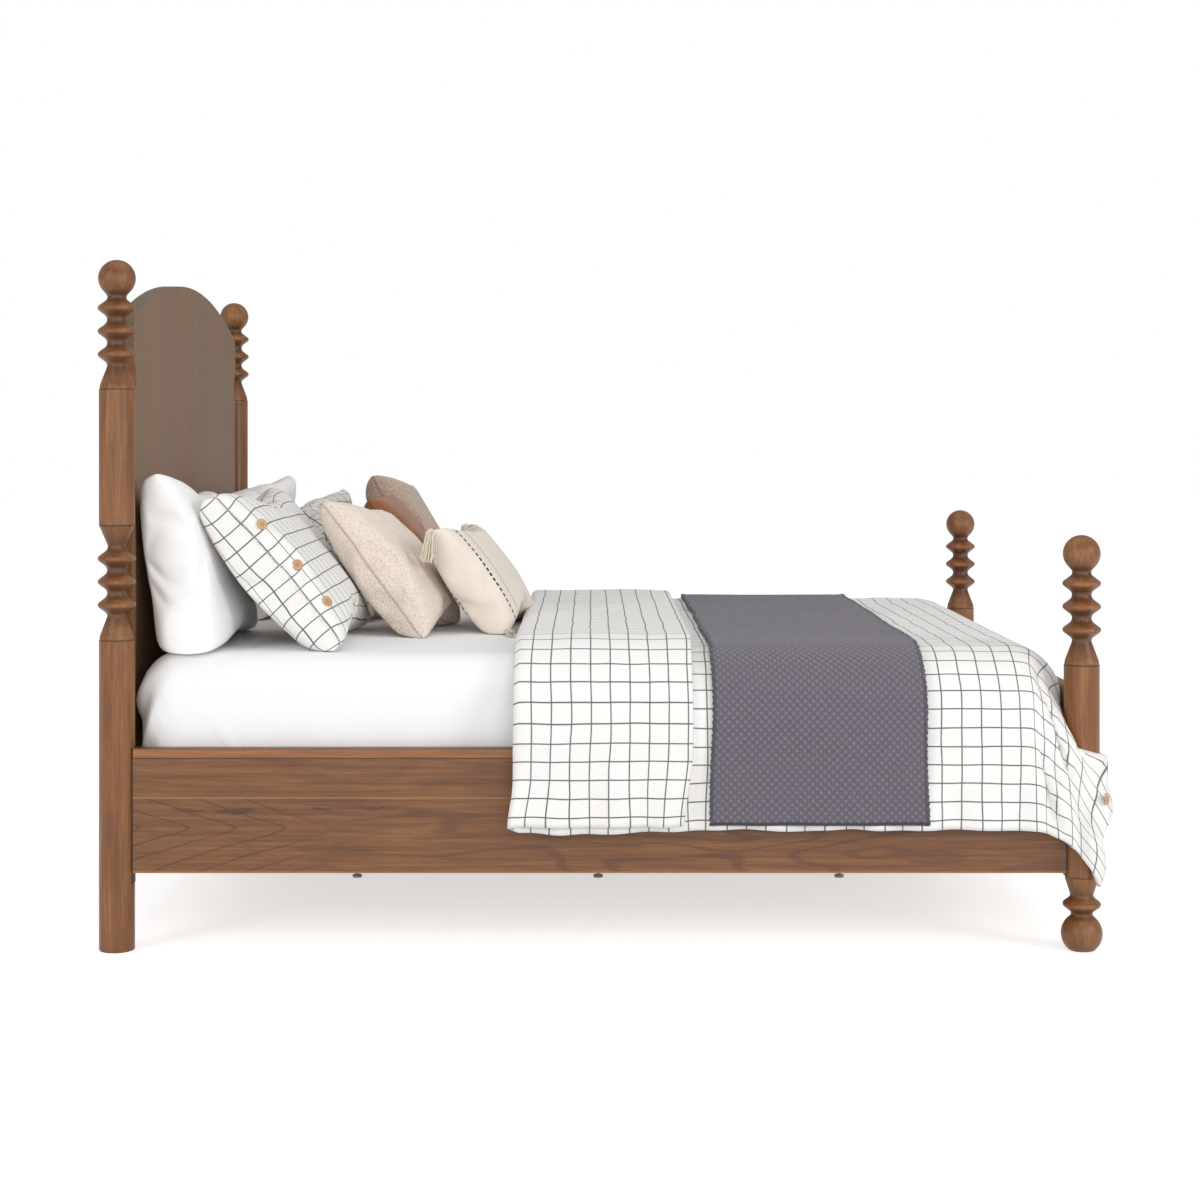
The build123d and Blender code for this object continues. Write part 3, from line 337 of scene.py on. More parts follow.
def veneered_board(name, rim_shade):
    """Upright leaves of veneer that change tone across the bed, and a plain rim."""
    shades = ("#644527", "#765432", "#86643F")
    made, tree, shader, stain = wood_finish(name, "Z", shades, 0.52, 11.3, band_mm=30.0, length=60.0)
    place = object_xyz(tree)
    leaf = add(tree, "Math", [place.outputs[1], leaves_per_metre], "MULTIPLY")
    leaf_tone = add(tree, "TexNoise", {"W": leaf, "Scale": 1.0, "Detail": 2.0}, noise_dimensions="1D")
    tone = add(
        tree,
        "ValToRGB",
        {"Fac": leaf_tone},
        stops=[
            (0.34, colour("#7C5738")),
            (0.44, colour("#705A42")),
            (0.50, colour("#80593B")),
            (0.58, colour("#765D44")),
            (0.68, colour("#6A5640")),
        ],
    )
    mixed = add(tree, "Mix", {"Factor": 0.72, 6: stain, 7: tone}, data_type="RGBA")
    facing = add(tree, "SeparateXYZ", [add(tree, "NewGeometry").outputs["Normal"]])
    across = add(tree, "Math", [facing.outputs[0]], "ABSOLUTE")
    rim = add(tree, "Math", [across, 0.7], "LESS_THAN")
    # The strip on the arch is greyer than the one in the notches beside the posts
    high = add(tree, "MapRange", [place.outputs[2], 1.325, 1.345])
    strip = add(
        tree,
        "Mix",
        {"Factor": high, 6: colour("#80522B"), 7: colour(rim_shade)},
        data_type="RGBA",
    )
    banded = add(tree, "Mix", {"Factor": rim, 6: mixed, 7: strip}, data_type="RGBA")
    cover(tree, shader, banded)
    return made


board_veneer = veneered_board("straight_walnut_veneer", "#69573F")
boards = ["headboard_panel", "headboard_rail", "headboard_stile_left", "headboard_stile_right"]
dress([*boards, "footboard_panel"], board_veneer)

# %% Rails
leaf_joint_z = 0.338
# The arches of the lower leaf: the height of their axis, how far apart and how slim they are
arch_axis_z = 0.272
arch_tip_r = 0.005
arch_slope = 3.2
arch_pitch = 0.105
# The middle of the gum marks
gum_x = -0.67
gum_z = 0.309


def rail_veneer(name):
    """Two leaves of veneer along the rail, the lower one with a cathedral figure."""
    shades = ("#543319", "#714727", "#8A5C33")
    made, tree, shader, stain = wood_finish(name, "X", shades, 0.45, 15.1, band_mm=13.0, length=40.0)
    place = add(tree, "TexCoord").outputs["Object"]
    parts = add(tree, "SeparateXYZ", [place])
    # The rings of the log: contour lines of a slow noise that is drawn out along the rail
    slow = add(tree, "Mapping", {"Vector": place, "Location": (0.4, 0, 0.9), "Scale": (1.5, 1.0, 9.0)})
    hill = add(tree, "TexNoise", {"Vector": slow, "Scale": 1.0, "Detail": 1.5})
    rings = add(tree, "Math", [hill, 62.0], "MULTIPLY")
    rings = add(tree, "Math", [rings], "SINE")
    ring_line = add(tree, "MapRange", [rings, 0.55, 1.0, 0.0, 0.42], interpolation_type="SMOOTHSTEP")
    lower = add(tree, "Math", [parts.outputs[2], leaf_joint_z], "LESS_THAN")
    figure = add(tree, "Math", [ring_line, lower], "MULTIPLY")
    # Near the headboard the rings are pointed arches, one in another, with their tips to the foot
    off_axis = add(tree, "Math", [parts.outputs[2], arch_axis_z], "SUBTRACT")
    off_axis = add(tree, "Math", [off_axis, 2.0], "POWER")
    off_axis = add(tree, "Math", [off_axis, arch_tip_r**2], "ADD")
    off_axis = add(tree, "Math", [off_axis], "SQRT")
    cone = add(tree, "Math", [off_axis, arch_slope, parts.outputs[0]], "MULTIPLY_ADD")
    cone = add(tree, "Math", [hill, 0.16, cone], "MULTIPLY_ADD")
    arches = add(tree, "Math", [cone, 2 * math.pi / arch_pitch], "MULTIPLY")
    arches = add(tree, "Math", [arches], "SINE")
    arch_line = add(tree, "MapRange", [arches, 0.86, 1.0, 0.0, 0.55], interpolation_type="SMOOTHSTEP")
    at_head = add(tree, "MapRange", [parts.outputs[0], -0.72, -0.52, 1.0, 0.0])
    arch_line = add(tree, "Math", [arch_line, at_head], "MULTIPLY")
    arch_line = add(tree, "Math", [arch_line, lower], "MULTIPLY")
    away = add(tree, "Math", [1.0, at_head], "SUBTRACT")
    figure = add(tree, "Math", [figure, away], "MULTIPLY")
    figure = add(tree, "Math", [figure, arch_line], "MAXIMUM")
    faint = add(tree, "Math", [ring_line, 0.35], "MULTIPLY")
    figure = add(tree, "Math", [figure, faint], "MAXIMUM")
    dark = add(tree, "Mix", {"Factor": figure, 6: stain, 7: colour("#3E2416")}, data_type="RGBA")
    # Dark gum marks in the lower leaf, towards the headboard
    spot = add(tree, "Mapping", {"Vector": place, "Location": (2.2, 0, 0.3), "Scale": (10.0, 1.0, 62.0)})
    gum = add(tree, "TexNoise", {"Vector": spot, "Scale": 1.0, "Detail": 2.0})
    gum_mark = add(tree, "MapRange", [gum, 0.575, 0.635, 0.0, 0.75])
    for fade in (
        band(tree, parts.outputs[0], gum_x, 0.22, 0.30, 1.0),
        band(tree, parts.outputs[2], gum_z, 0.013, 0.024, 1.0),
    ):
        gum_mark = add(tree, "Math", [gum_mark, fade], "MULTIPLY")
    marked = add(tree, "Mix", {"Factor": gum_mark, 6: dark, 7: colour("#3C261C")}, data_type="RGBA")
    # The pale glue line between the two leaves
    line = band(tree, parts.outputs[2], leaf_joint_z, 0.0006, 0.0025, 0.55)
    lined = add(tree, "Mix", {"Factor": line, 6: marked, 7: colour("#A77A53")}, data_type="RGBA")
    # Painted shadow: a dark line at the joint, in the shade under the cap's overhang
    joint = add(tree, "MapRange", [parts.outputs[2], 0.4225, 0.4250, 0.0, 0.7])
    cap_shadowed = add(tree, "Mix", {"Factor": joint, 6: lined, 7: colour("#2E1C12")}, data_type="RGBA")
    # The lower edge is drawn lighter in a thin band
    lower_edge_band = add(tree, "MapRange", [parts.outputs[2], 0.1745, 0.1785, 0.55, 0.0])
    lower_edge_lightened = add(tree, "Mix", {"Factor": lower_edge_band, 6: cap_shadowed, 7: colour("#AD7444")}, data_type="RGBA")
    cover(tree, shader, lower_edge_lightened)
    return made


rail_wood = rail_veneer("cathedral_walnut_veneer")
cap_wood, tree, shader, stain = wood_finish(
    "lacquered_edge_strip", "X", ("#7C4A24", "#935F38", "#A87347"), 0.4, 21.0
)
# Painted shadow: the upper corner of the cap is darker where the sheet's edge shades it
contact_shadow_mask = add(tree, "MapRange", [object_xyz(tree).outputs[2], 0.4435, 0.4455, 0.0, 0.6])
contact_shadowed = add(tree, "Mix", {"Factor": contact_shadow_mask, 6: stain, 7: colour("#3A2416")}, data_type="RGBA")
cover(tree, shader, contact_shadowed)
dress(["side_rail_left", "side_rail_right"], rail_wood)
dress(["rail_cap_left", "rail_cap_right"], cap_wood)

# %% [markdown]
# ## Parts under the bed
# Slats, beam and ledgers are planed softwood with no finish. The hardware is zinc-plated or
# powder-coated steel, and the glides are moulded nylon. They hardly show, but each one gets the
# finish that it has in the shop.

# %% Softwood and hardware
softwood_shades = ("#B08A5C", "#C7A377", "#D6B88E")
for name, along, seed, names in (
    ("planed_softwood", "Y", 27.0, [f"slat_{n:02d}" for n in range(1, 13)]),
    ("planed_softwood_long", "X", 29.0, ["slat_ledger_left", "slat_ledger_right", "centre_beam"]),
    ("planed_softwood_leg", "Z", 31.0, ["centre_legs"]),
):
    dress(names, wood_finish(name, along, softwood_shades, 0.62, seed)[0])


def grained_surface(name, shade, spread, roughness, grain, depth, **values):
    """A fine even grain: a little colour variation and a shallow bump of one size, in metres."""
    made, tree, shader = new_material(name, roughness, **values)
    place = add(tree, "TexCoord").outputs["Object"]
    fine = add(tree, "TexNoise", {"Vector": place, "Scale": 1 / grain, "Detail": 4.0})
    tint = add(tree, "ValToRGB", {"Fac": fine}, stops=[(0.35, colour(shade)), (0.65, colour(spread))])
    cover(tree, shader, tint, fine, 0.4, depth)
    return made


zinc = grained_surface("zinc_plated_steel", "#A9ABA9", "#C2C4C1", 0.32, 0.004, 0.0001, Metallic=1.0)
powder = grained_surface("powder_coated_steel", "#151515", "#212121", 0.5, 0.0012, 0.0002)
nylon = grained_surface("moulded_nylon", "#C9C9C4", "#D6D6D2", 0.45, 0.002, 0.0001)
ticking = grained_surface("quilted_ticking", "#DEDCD4", "#EAE8E1", 0.85, 0.02, 0.004)
dress(["post_rods", "corner_bolts", "barrel_nuts", "slat_screws"], zinc)
dress(["rail_plates", "beam_brackets"], powder)
dress(["levelling_glides"], nylon)
dress(["mattress"], ticking)
print("materials:", len(bpy.data.materials))

# %% [markdown]
# ## Cloth
# Each fabric is woven, so its pattern follows the cloth and not the room: every soft piece gets
# a UV map in metres of flat cloth. Threads of half a millimetre are too fine to show at this
# size, so the weave is drawn about three times as coarse.

# %% Cotton
def cloth_place(tree, wobble=0.0):
    """Flat-cloth coordinates in metres, with threads that wander by a little."""
    flat = add(tree, "UVMap", uv_map="cloth")
    if not wobble:
        return flat
    drift = add(tree, "TexNoise", {"Vector": flat, "Scale": 9.0, "Detail": 1.0})
    offset = add(tree, "VectorMath", [drift.outputs["Color"], (-0.5, -0.5, -0.5)])
    scaled = add(tree, "VectorMath", {0: offset, "Scale": wobble}, "SCALE")
    return add(tree, "VectorMath", [flat, scaled])


check_shift = (0.257, 0.0)


def cotton(name, shade, crinkle, line_shade=None, pitch=(0.0427, 0.040), line_width=0.0027):
    """Plain woven cotton, with a windowpane check if it has a line colour."""
    made, tree, shader = new_material(name, 0.8, IOR=1.45)
    shader.inputs["Sheen Weight"].default_value = 0.15
    shader.inputs["Sheen Roughness"].default_value = 0.5
    flat = cloth_place(tree, 0.006 if line_shade else 0.0)
    # Crinkles between the threads, stretched along the warp
    spot = add(tree, "Mapping", {"Vector": flat, "Scale": (170.0, 420.0, 1.0)})
    fine = add(tree, "TexNoise", {"Vector": spot, "Scale": 1.0, "Detail": 2.0})
    slow = add(tree, "TexNoise", {"Vector": flat, "Scale": 28.0, "Detail": 2.0})
    height = add(tree, "Mix", {"Factor": 0.5, 2: fine, 3: slow})
    shade_now = add(
        tree,
        "ValToRGB",
        {"Fac": fine},
        stops=[(0.3, colour(shade[0])), (0.7, colour(shade[1]))],
    )
    if line_shade:
        parts = add(tree, "SeparateXYZ", [flat])
        lines = []
        for axis in (0, 1):
            turns = add(tree, "Math", [parts.outputs[axis], pitch[axis]], "DIVIDE")
            turns = add(tree, "Math", [turns, check_shift[axis]])
            turns = add(tree, "Math", [turns], "FRACT")
            turns = add(tree, "Math", [turns, 0.5], "SUBTRACT")
            turns = add(tree, "Math", [turns], "ABSOLUTE")
            off = add(tree, "Math", [turns, pitch[axis]], "MULTIPLY")
            line = add(tree, "MapRange", [off, line_width * 0.35, line_width * 0.75, 0.92, 0.0])
            lines.append(line)
        check = add(tree, "Math", [lines[0], lines[1]], "MAXIMUM")
        shade_now = add(
            tree,
            "Mix",
            {"Factor": check, 6: shade_now, 7: colour(line_shade)},
            data_type="RGBA",
        )
    cover(tree, shader, shade_now, height, 0.5, crinkle)
    return made


white_sheet = cotton("percale_cotton", ("#E9E9E9", "#EEEEEE"), 0.0006)
white_case = cotton("washed_cotton_case", ("#EEEDEC", "#F4F3F2"), 0.0012)
check_cotton = cotton("yarn_dyed_check_cotton", ("#E7E5E2", "#EFEDEA"), 0.0016, "#3F4254")

# %% Throw
throw_width = 0.467
throw_half = 1.179
weave_pitch = (0.0175, 0.018)


def basket_weave(name):
    """Thick yarns that cross in pairs: oval blocks, each row half a block along from the last."""
    made, tree, shader = new_material(name, 0.9, IOR=1.45)
    shader.inputs["Sheen Weight"].default_value = 0.2
    shader.inputs["Sheen Roughness"].default_value = 0.6
    flat = cloth_place(tree, 0.004)
    parts = add(tree, "SeparateXYZ", [flat])
    waves = []
    for axis, size in ((0, weave_pitch[0]), (1, weave_pitch[1])):
        wave = add(tree, "Math", [parts.outputs[axis], 2 * math.pi / size], "MULTIPLY")
        waves.append(add(tree, "Math", [wave], "COSINE"))
    lattice = add(tree, "Math", [waves[0], waves[1]], "MULTIPLY")
    raised = add(tree, "MapRange", [lattice, -0.35, 0.9], interpolation_type="SMOOTHSTEP")
    block = add(
        tree,
        "ValToRGB",
        {"Fac": raised},
        stops=[(0.0, colour("#5E5963")), (0.45, colour("#666169")), (1.0, colour("#75707A"))],
    )
    yarn = add(tree, "Mapping", {"Vector": flat, "Scale": (900.0, 500.0, 1.0)})
    fuzz = add(tree, "TexNoise", {"Vector": yarn, "Scale": 1.0, "Detail": 3.0})
    speck = add(tree, "MapRange", [fuzz, 0.3, 0.7, 0.84, 1.14])
    toned = add(tree, "VectorMath", {0: block, "Scale": speck}, "SCALE")
    # The two long edges and the hems are bound with darker yarn
    middle = add(tree, "Math", [parts.outputs[0], throw_width / 2], "SUBTRACT")
    out = add(tree, "Math", [middle], "ABSOLUTE")
    side_band = add(tree, "MapRange", [out, throw_width / 2 - 0.011, throw_width / 2 - 0.006, 0.0, 0.5])
    down = add(tree, "Math", [parts.outputs[1]], "ABSOLUTE")
    hem_band = add(tree, "MapRange", [down, throw_half - 0.009, throw_half - 0.006, 0.0, 0.9])
    bound = add(tree, "Math", [side_band, hem_band], "MAXIMUM")
    toned = add(tree, "Mix", {"Factor": bound, 6: toned, 7: colour("#33323B")}, data_type="RGBA")
    height = add(tree, "Mix", {"Factor": 0.2, 2: raised, 3: fuzz})
    cover(tree, shader, toned, height, 0.9, 0.003)
    return made


throw_yarn = basket_weave("basket_woven_cotton_throw")

# %% [markdown]
# Boucle is woven from looped yarn, so its surface is a mat of small curls a few millimetres
# across. Cells with soft edges stand for the curls. A float attribute that the cushions carry,
# the distance to their seam, draws the thin shadow where two panels are sewn together.

# %% Looped and plain upholstery cloth
def looped_cloth(name, shades, curl, depth, seam_shade):
    """Curled yarn with soft edges and a thin painted shadow along the seam."""
    made, tree, shader = new_material(name, 0.95, IOR=1.45)
    shader.inputs["Sheen Weight"].default_value = 0.3
    shader.inputs["Sheen Roughness"].default_value = 0.6
    place = add(tree, "TexCoord").outputs["Object"]
    warp = add(tree, "TexNoise", {"Vector": place, "Scale": 1.2 / curl, "Detail": 2.0})
    bent = add(tree, "VectorMath", {0: warp.outputs["Color"], "Scale": curl * 1.3}, "SCALE")
    spot = add(tree, "VectorMath", [place, bent])
    curls = add(tree, "TexVoronoi", {"Vector": spot, "Scale": 1 / curl}, feature="F1")
    blotch = add(tree, "TexNoise", {"Vector": place, "Scale": 22.0, "Detail": 3.0})
    tone = add(tree, "Mix", {"Factor": 0.85, 2: blotch, 3: curls})
    tint = add(
        tree,
        "ValToRGB",
        {"Fac": tone},
        stops=[(0.20, colour(shades[2])), (0.45, colour(shades[1])), (0.75, colour(shades[0]))],
    )
    seam = add(tree, "Attribute", attribute_name="seam")
    # Painted shadow: a thin dark line where the two panels are sewn together
    line = add(tree, "MapRange", [seam.outputs["Fac"], 0.0006, 0.0028, 0.55, 0.0])
    seam_shadowed = add(tree, "Mix", {"Factor": line, 6: tint, 7: colour(seam_shade)}, data_type="RGBA")
    raised = add(tree, "Math", [1.0, curls], "SUBTRACT")
    cover(tree, shader, seam_shadowed, raised, 0.8, depth)
    return made


beige_loops = looped_cloth("beige_boucle_cloth", ("#DBCAB9", "#EDDFD0", "#F5EBDF"), 0.0042, 0.0022, "#94806E")
taupe_loops = looped_cloth("taupe_boucle_cloth", ("#A58B7A", "#BFA592", "#D0B9A6"), 0.0042, 0.0022, "#6E5849")
rust_loops = looped_cloth("rust_plush_cloth", ("#7E4A26", "#9A6238", "#AE7548"), 0.0022, 0.0010, "#6B3F22")


# The lumbar cushion's pattern, as distances from its middle towards its short sides
dash_at = 0.196
zigzag_at = 0.148
ribs_to = 0.188
dash_pitch = 0.0165
zigzag_height = 0.006
rib_pitch = 0.011


def striped_cotton(name):
    """Cream cloth with fine woven ribs and two stitched black lines across its ends."""
    made, tree, shader = new_material(name, 0.9, IOR=1.45)
    shader.inputs["Sheen Weight"].default_value = 0.2
    flat = cloth_place(tree)
    parts = add(tree, "SeparateXYZ", [flat])
    out = add(tree, "Math", [parts.outputs[0]], "ABSOLUTE")
    spot = add(tree, "Mapping", {"Vector": flat, "Scale": (320.0, 700.0, 1.0)})
    fuzz = add(tree, "TexNoise", {"Vector": spot, "Scale": 1.0, "Detail": 3.0})
    tint = add(
        tree,
        "ValToRGB",
        {"Fac": fuzz},
        stops=[(0.3, colour("#DFD2C4")), (0.7, colour("#EFE6DB"))],
    )
    # Thick dashes, then a thin zigzag nearer to the middle
    dash_turns = add(tree, "Math", [parts.outputs[1], 1 / dash_pitch], "MULTIPLY")
    dash_turns = add(tree, "Math", [dash_turns], "FRACT")
    dash_on = add(tree, "Math", [dash_turns, 0.62], "LESS_THAN")
    dash_off = add(tree, "Math", [out, dash_at], "SUBTRACT")
    dash_off = add(tree, "Math", [dash_off], "ABSOLUTE")
    dash_near = add(tree, "Math", [dash_off, 0.0046], "LESS_THAN")
    dash = add(tree, "Math", [dash_on, dash_near], "MULTIPLY")
    wave = add(tree, "Math", [parts.outputs[1], zigzag_height], "PINGPONG")
    wave_at = add(tree, "Math", [out, wave], "ADD")
    wave_off = add(tree, "Math", [wave_at, zigzag_at], "SUBTRACT")
    wave_off = add(tree, "Math", [wave_off], "ABSOLUTE")
    zigzag = add(tree, "Math", [wave_off, 0.0016], "LESS_THAN")
    black = add(tree, "Math", [dash, zigzag], "MAXIMUM")
    drawn = add(tree, "Mix", {"Factor": black, 6: tint, 7: colour("#17151A")}, data_type="RGBA")
    # Ribs between the lines, as fine raised cords
    rib = add(tree, "Math", [out, 2 * math.pi / rib_pitch], "MULTIPLY")
    rib = add(tree, "Math", [rib], "SINE")
    inner = add(tree, "Math", [out, ribs_to], "LESS_THAN")
    rib = add(tree, "Math", [rib, inner], "MULTIPLY")
    height = add(tree, "Math", [rib, 0.3], "MULTIPLY")
    height = add(tree, "Math", [height, fuzz])
    cover(tree, shader, drawn, height, 0.6, 0.0015)
    return made


lumbar_cloth = striped_cotton("cream_ribbed_cotton")
tassel_yarn = grained_surface("twisted_cotton_yarn", "#E3D7C0", "#F3EADA", 0.9, 0.0012, 0.0006)
button_wood = wood_finish("turned_button_wood", "X", ("#B0865C", "#C39B70", "#D0AC83"), 0.5, 37.0)[0]
# Painted shade: the dark colour inside the buttons' holes
hole_shade = grained_surface("painted_shade_button_hole", "#4A3120", "#5A3E2A", 0.8, 0.001, 0.0001)
fray_yarn = grained_surface("frayed_cotton_ends", "#E2DFD8", "#F0EEE8", 0.9, 0.002, 0.0002)
print("materials:", len(bpy.data.materials))

# %% [markdown]
# ## Cloth over the bed
# The duvet and the throw cross the bed and hang down both sides. Seen from the foot, each one is
# flat on top, turns down over a round shoulder, and hangs straight. A grid is made with an
# operator and each of its points is then moved to its place on that line, at its distance from
# the middle of the cloth. That keeps the cloth's true size, which the check pattern needs.

# %% Grid and drape
shoulder_r = 0.170
bed_top = 0.6483


def publish(bm, name, material):
    """Turn a bmesh into a piece that rides on the bed."""
    mesh = bpy.data.meshes.new(name)
    bm.to_mesh(mesh)
    bm.free()
    piece = bpy.data.objects.new(name, mesh)
    bpy.context.scene.collection.objects.link(piece)
    piece.data.materials.append(material)
    mesh.shade_smooth()
    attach(piece, "root")
    return piece


def cloth_grid(across, along, cell, place):
    """Grid over two ranges of flat cloth, with its points moved by place(s, t)."""
    columns = round((across[1] - across[0]) / cell)
    rows = round((along[1] - along[0]) / cell)
    bm = bmesh.new()
    layer = bm.loops.layers.uv.new("cloth")
    bmesh.ops.create_grid(bm, x_segments=columns, y_segments=rows, size=0.5)
    flat = {}
    for point in bm.verts:
        s = across[0] + (point.co.x + 0.5) * (across[1] - across[0])
        t = along[0] + (point.co.y + 0.5) * (along[1] - along[0])
        flat[point] = (t, s)
    for face in bm.faces:
        for corner in face.loops:
            corner[layer].uv = flat[corner.vert]
    for point, (t, s) in flat.items():
        point.co = place(s, t)
    return bm


def over_bed(s, reach, top):
    """Where a cloth lies across the bed, s metres from its middle: y, z and outward direction."""
    side = -1 if s < 0 else 1
    run = abs(s)
    flat = reach - shoulder_r
    turn = (run - flat) / shoulder_r
    if turn <= 0:
        return side * run, top, 0.0, 1.0
    if turn < math.pi / 2:
        y = flat + shoulder_r * math.sin(turn)
        z = top - shoulder_r * (1 - math.cos(turn))
        return side * y, z, side * math.sin(turn), math.cos(turn)
    drop = (turn - math.pi / 2) * shoulder_r
    return side * reach, top - shoulder_r - drop, side * 1.0, 0.0


def wander(x, y, z, size, seed):
    """Smooth noise from -1 to 1 that changes over a length."""
    return noise.noise(Vector((x / size + seed, y / size - seed, z / size + 2 * seed)))


def smooth(low, high, value):
    """0 below low, 1 above high, and a smooth rise between."""
    share = min(1.0, max(0.0, (value - low) / (high - low)))
    return share * share * (3 - 2 * share)


def mix(a, b, share):
    return a + (b - a) * share


# %% [markdown]
# ## Fitted sheet
# The mattress wears a fitted sheet: pulled tight on top, rounded at the corners, and pulled in
# by its elastic below, where slanting folds run from the corner down to the hem. It starts as a
# flat grid. Its square rings are laid over the top and down the sides of the mattress's rounded
# outline, one after another, and the folds fade away from the corners.

# %% Fitted sheet piece
sheet_low, sheet_high = (Vector(corner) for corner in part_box("fitted_sheet"))
sheet_middle = (sheet_low + sheet_high) / 2
sheet_half = (sheet_high - sheet_low) / 2
sheet_corner_r = 0.085
sheet_edge_r = 0.062
sheet_cell = 0.016
# Grid columns that the cloth's overhang needs on top of the mattress's own length or width
overhang_cells = 40
# Where two folds start, in metres from the head end, and how far they lean for a metre of fall
fold_lines = (0.040, 0.088)
fold_lean = 0.35

bm = bmesh.new()
bmesh.ops.create_grid(
    bm,
    x_segments=round(2 * sheet_half.x / sheet_cell) + overhang_cells,
    y_segments=round(2 * sheet_half.y / sheet_cell) + overhang_cells,
    size=0.5,
)
drop = sheet_half.z * 2 - sheet_edge_r
edge_arc = sheet_edge_r * math.pi / 2
cut_x = sheet_half.x - sheet_edge_r + edge_arc + drop
cut_y = sheet_half.y - sheet_edge_r + edge_arc + drop
uv = bm.loops.layers.uv.new("cloth")
flat_spots = {}
for point in bm.verts:
    flat_spots[point] = (2 * cut_x * point.co.x, 2 * cut_y * point.co.y)
for face in bm.faces:
    for corner in face.loops:
        corner[uv].uv = flat_spots[corner.vert]
print("sheet cut", round(2 * cut_x, 3), "by", round(2 * cut_y, 3))


def fitted_place(u, v):
    """Square rings of flat cloth become rings of the mattress's outline, from its middle down."""
    core_x = sheet_half.x - sheet_edge_r
    core_y = sheet_half.y - sheet_edge_r
    # How far over the edge this ring is: 0 on the flat top, then down the side
    over = max(abs(u) - core_x, abs(v) - core_y, 0.0)
    if over <= 0:
        return Vector((u, v, sheet_half.z)), 0.0, Vector((0, 0, 1))
    ring_u = max(-1.0, min(1.0, u / (core_x + over)))
    ring_v = max(-1.0, min(1.0, v / (core_y + over)))
    turn = min(over / sheet_edge_r, math.pi / 2)
    grow = sheet_edge_r * math.sin(turn)
    fall = sheet_edge_r * (1 - math.cos(turn)) + max(0.0, over - edge_arc)
    half_x = core_x + grow
    half_y = core_y + grow
    x = ring_u * half_x
    y = ring_v * half_y
    radius = min(grow + 0.02, sheet_corner_r)
    inner_x = half_x - radius
    inner_y = half_y - radius
    over_x = abs(x) - inner_x
    over_y = abs(y) - inner_y
    if over_x > 0 and over_y > 0:
        angle = math.atan2(over_y, over_x)
        x = math.copysign(inner_x + radius * math.cos(angle), x)
        y = math.copysign(inner_y + radius * math.sin(angle), y)
        side = Vector((math.copysign(math.cos(angle), x), math.copysign(math.sin(angle), y), 0))
    elif over_x > over_y:
        side = Vector((math.copysign(1, x), 0, 0))
    else:
        side = Vector((0, math.copysign(1, y), 0))
    outward = side * math.sin(turn) + Vector((0, 0, math.cos(turn)))
    return Vector((x, y, sheet_half.z - fall)), fall, outward


for point, (u, v) in flat_spots.items():
    place, fall, outward = fitted_place(u, v)
    low = fall / (2 * sheet_half.z)
    from_head = place.x + sheet_half.x
    near_corner = math.exp(-from_head / 0.10) + math.exp(-(sheet_half.x - place.x) / 0.10)
    along = from_head + fold_lean * fall
    folds = 0.5 + 0.5 * math.sin(along * 2 * math.pi / 0.062 + 2.0 * wander(*place, 0.2, 3.0))
    ridge = folds**3 * 0.004 * near_corner * smooth(0.10, 0.6, low)
    # Two folds lie down the corner and one faint crease runs the other way
    for middle in fold_lines:
        slack = smooth(0.04, 0.30, low)
        ridge += 0.010 * math.exp(-(((along - middle) / 0.011) ** 2)) * slack
        ridge -= 0.005 * math.exp(-(((along - middle - 0.016) / 0.007) ** 2)) * slack
    crease = from_head - 0.62 * fall - 0.077
    ridge += 0.003 * math.exp(-((crease / 0.014) ** 2)) * smooth(0.3, 0.6, low)
    soft = 0.0035 * wander(place.x, place.y, place.z, 0.16, 1.0) * smooth(0.0, 0.35, low)
    soft += 0.0010 * wander(place.x, place.y, place.z, 0.05, 5.0)
    belly = 0.019 * math.sin(math.pi * min(1.0, low * 1.15)) * smooth(0.02, 0.25, low)
    point.co = place + outward * (ridge + soft + belly) + sheet_middle
bmesh.ops.recalc_face_normals(bm, faces=bm.faces)
fitted = publish(bm, "fitted_sheet_cloth", white_sheet)
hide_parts("fitted_sheet")
shell = fitted.modifiers.new("cloth", "SOLIDIFY")
shell.thickness = 0.0016
shell.offset = -1
print("fitted sheet faces:", len(fitted.data.polygons))

# %% [markdown]
# ## Duvet
# The duvet is a filled quilt in a check cover. It is tucked in behind the footboard, hangs over
# both rails, and its head end is folded back on itself. One grid makes all of it: it starts at
# the edge of the folded part, runs to the fold near the pillows, turns round it, and goes back
# under itself to the foot. At the foot the sides aren't tucked. They fall outside the posts and
# droop in a loose corner.

# %% Duvet piece
fold_x = -0.176
folded_length = 0.375
duvet_thickness = 0.013
lower_top = 0.6575
upper_top = 0.6835
fold_r = (upper_top - lower_top) / 2
fold_arc = math.pi * fold_r
half_cloth = 1.162
lower_reach = 0.8535
foot_start_x = 0.90
tuck_x = 1.0225
tuck_r = 0.060
tuck_bottom = 0.452
top_run = tuck_x - tuck_r - fold_x
tuck_arc = tuck_r * math.pi / 2
duvet_end = folded_length + fold_arc + top_run + tuck_arc + (lower_top - tuck_r - tuck_bottom)
# The cloth keeps this far from a foot post's axis: the post's radius and a little air
post_clear = 0.0391 + 0.012
# The loose corner: the flap's upper and lower lines as four x, z points each
corner_top_z = 0.640
corner_low_z = 0.276
corner_high_line = ((foot_start_x, corner_top_z), (0.965, 0.643), (1.00, 0.555), (1.112, 0.374))
corner_low_line = ((foot_start_x, corner_low_z), (0.97, corner_low_z), (1.04, 0.262), (1.086, 0.150))
# Short tucks beside the post: along the flap, across the cloth, and their length
tucks = ((0.128, 0.86, 0.060), (0.165, 0.93, 0.045), (0.115, 1.06, 0.07))


def bend(start, leave, arrive, end, share):
    """Point on a smooth bow that leaves the start and reaches the end towards two middle points."""
    rest = 1 - share
    weights = (rest**3, 3 * rest**2 * share, 3 * rest * share**2, share**3)
    return tuple(
        sum(w * value for w, value in zip(weights, values))
        for values in zip(start, leave, arrive, end)
    )


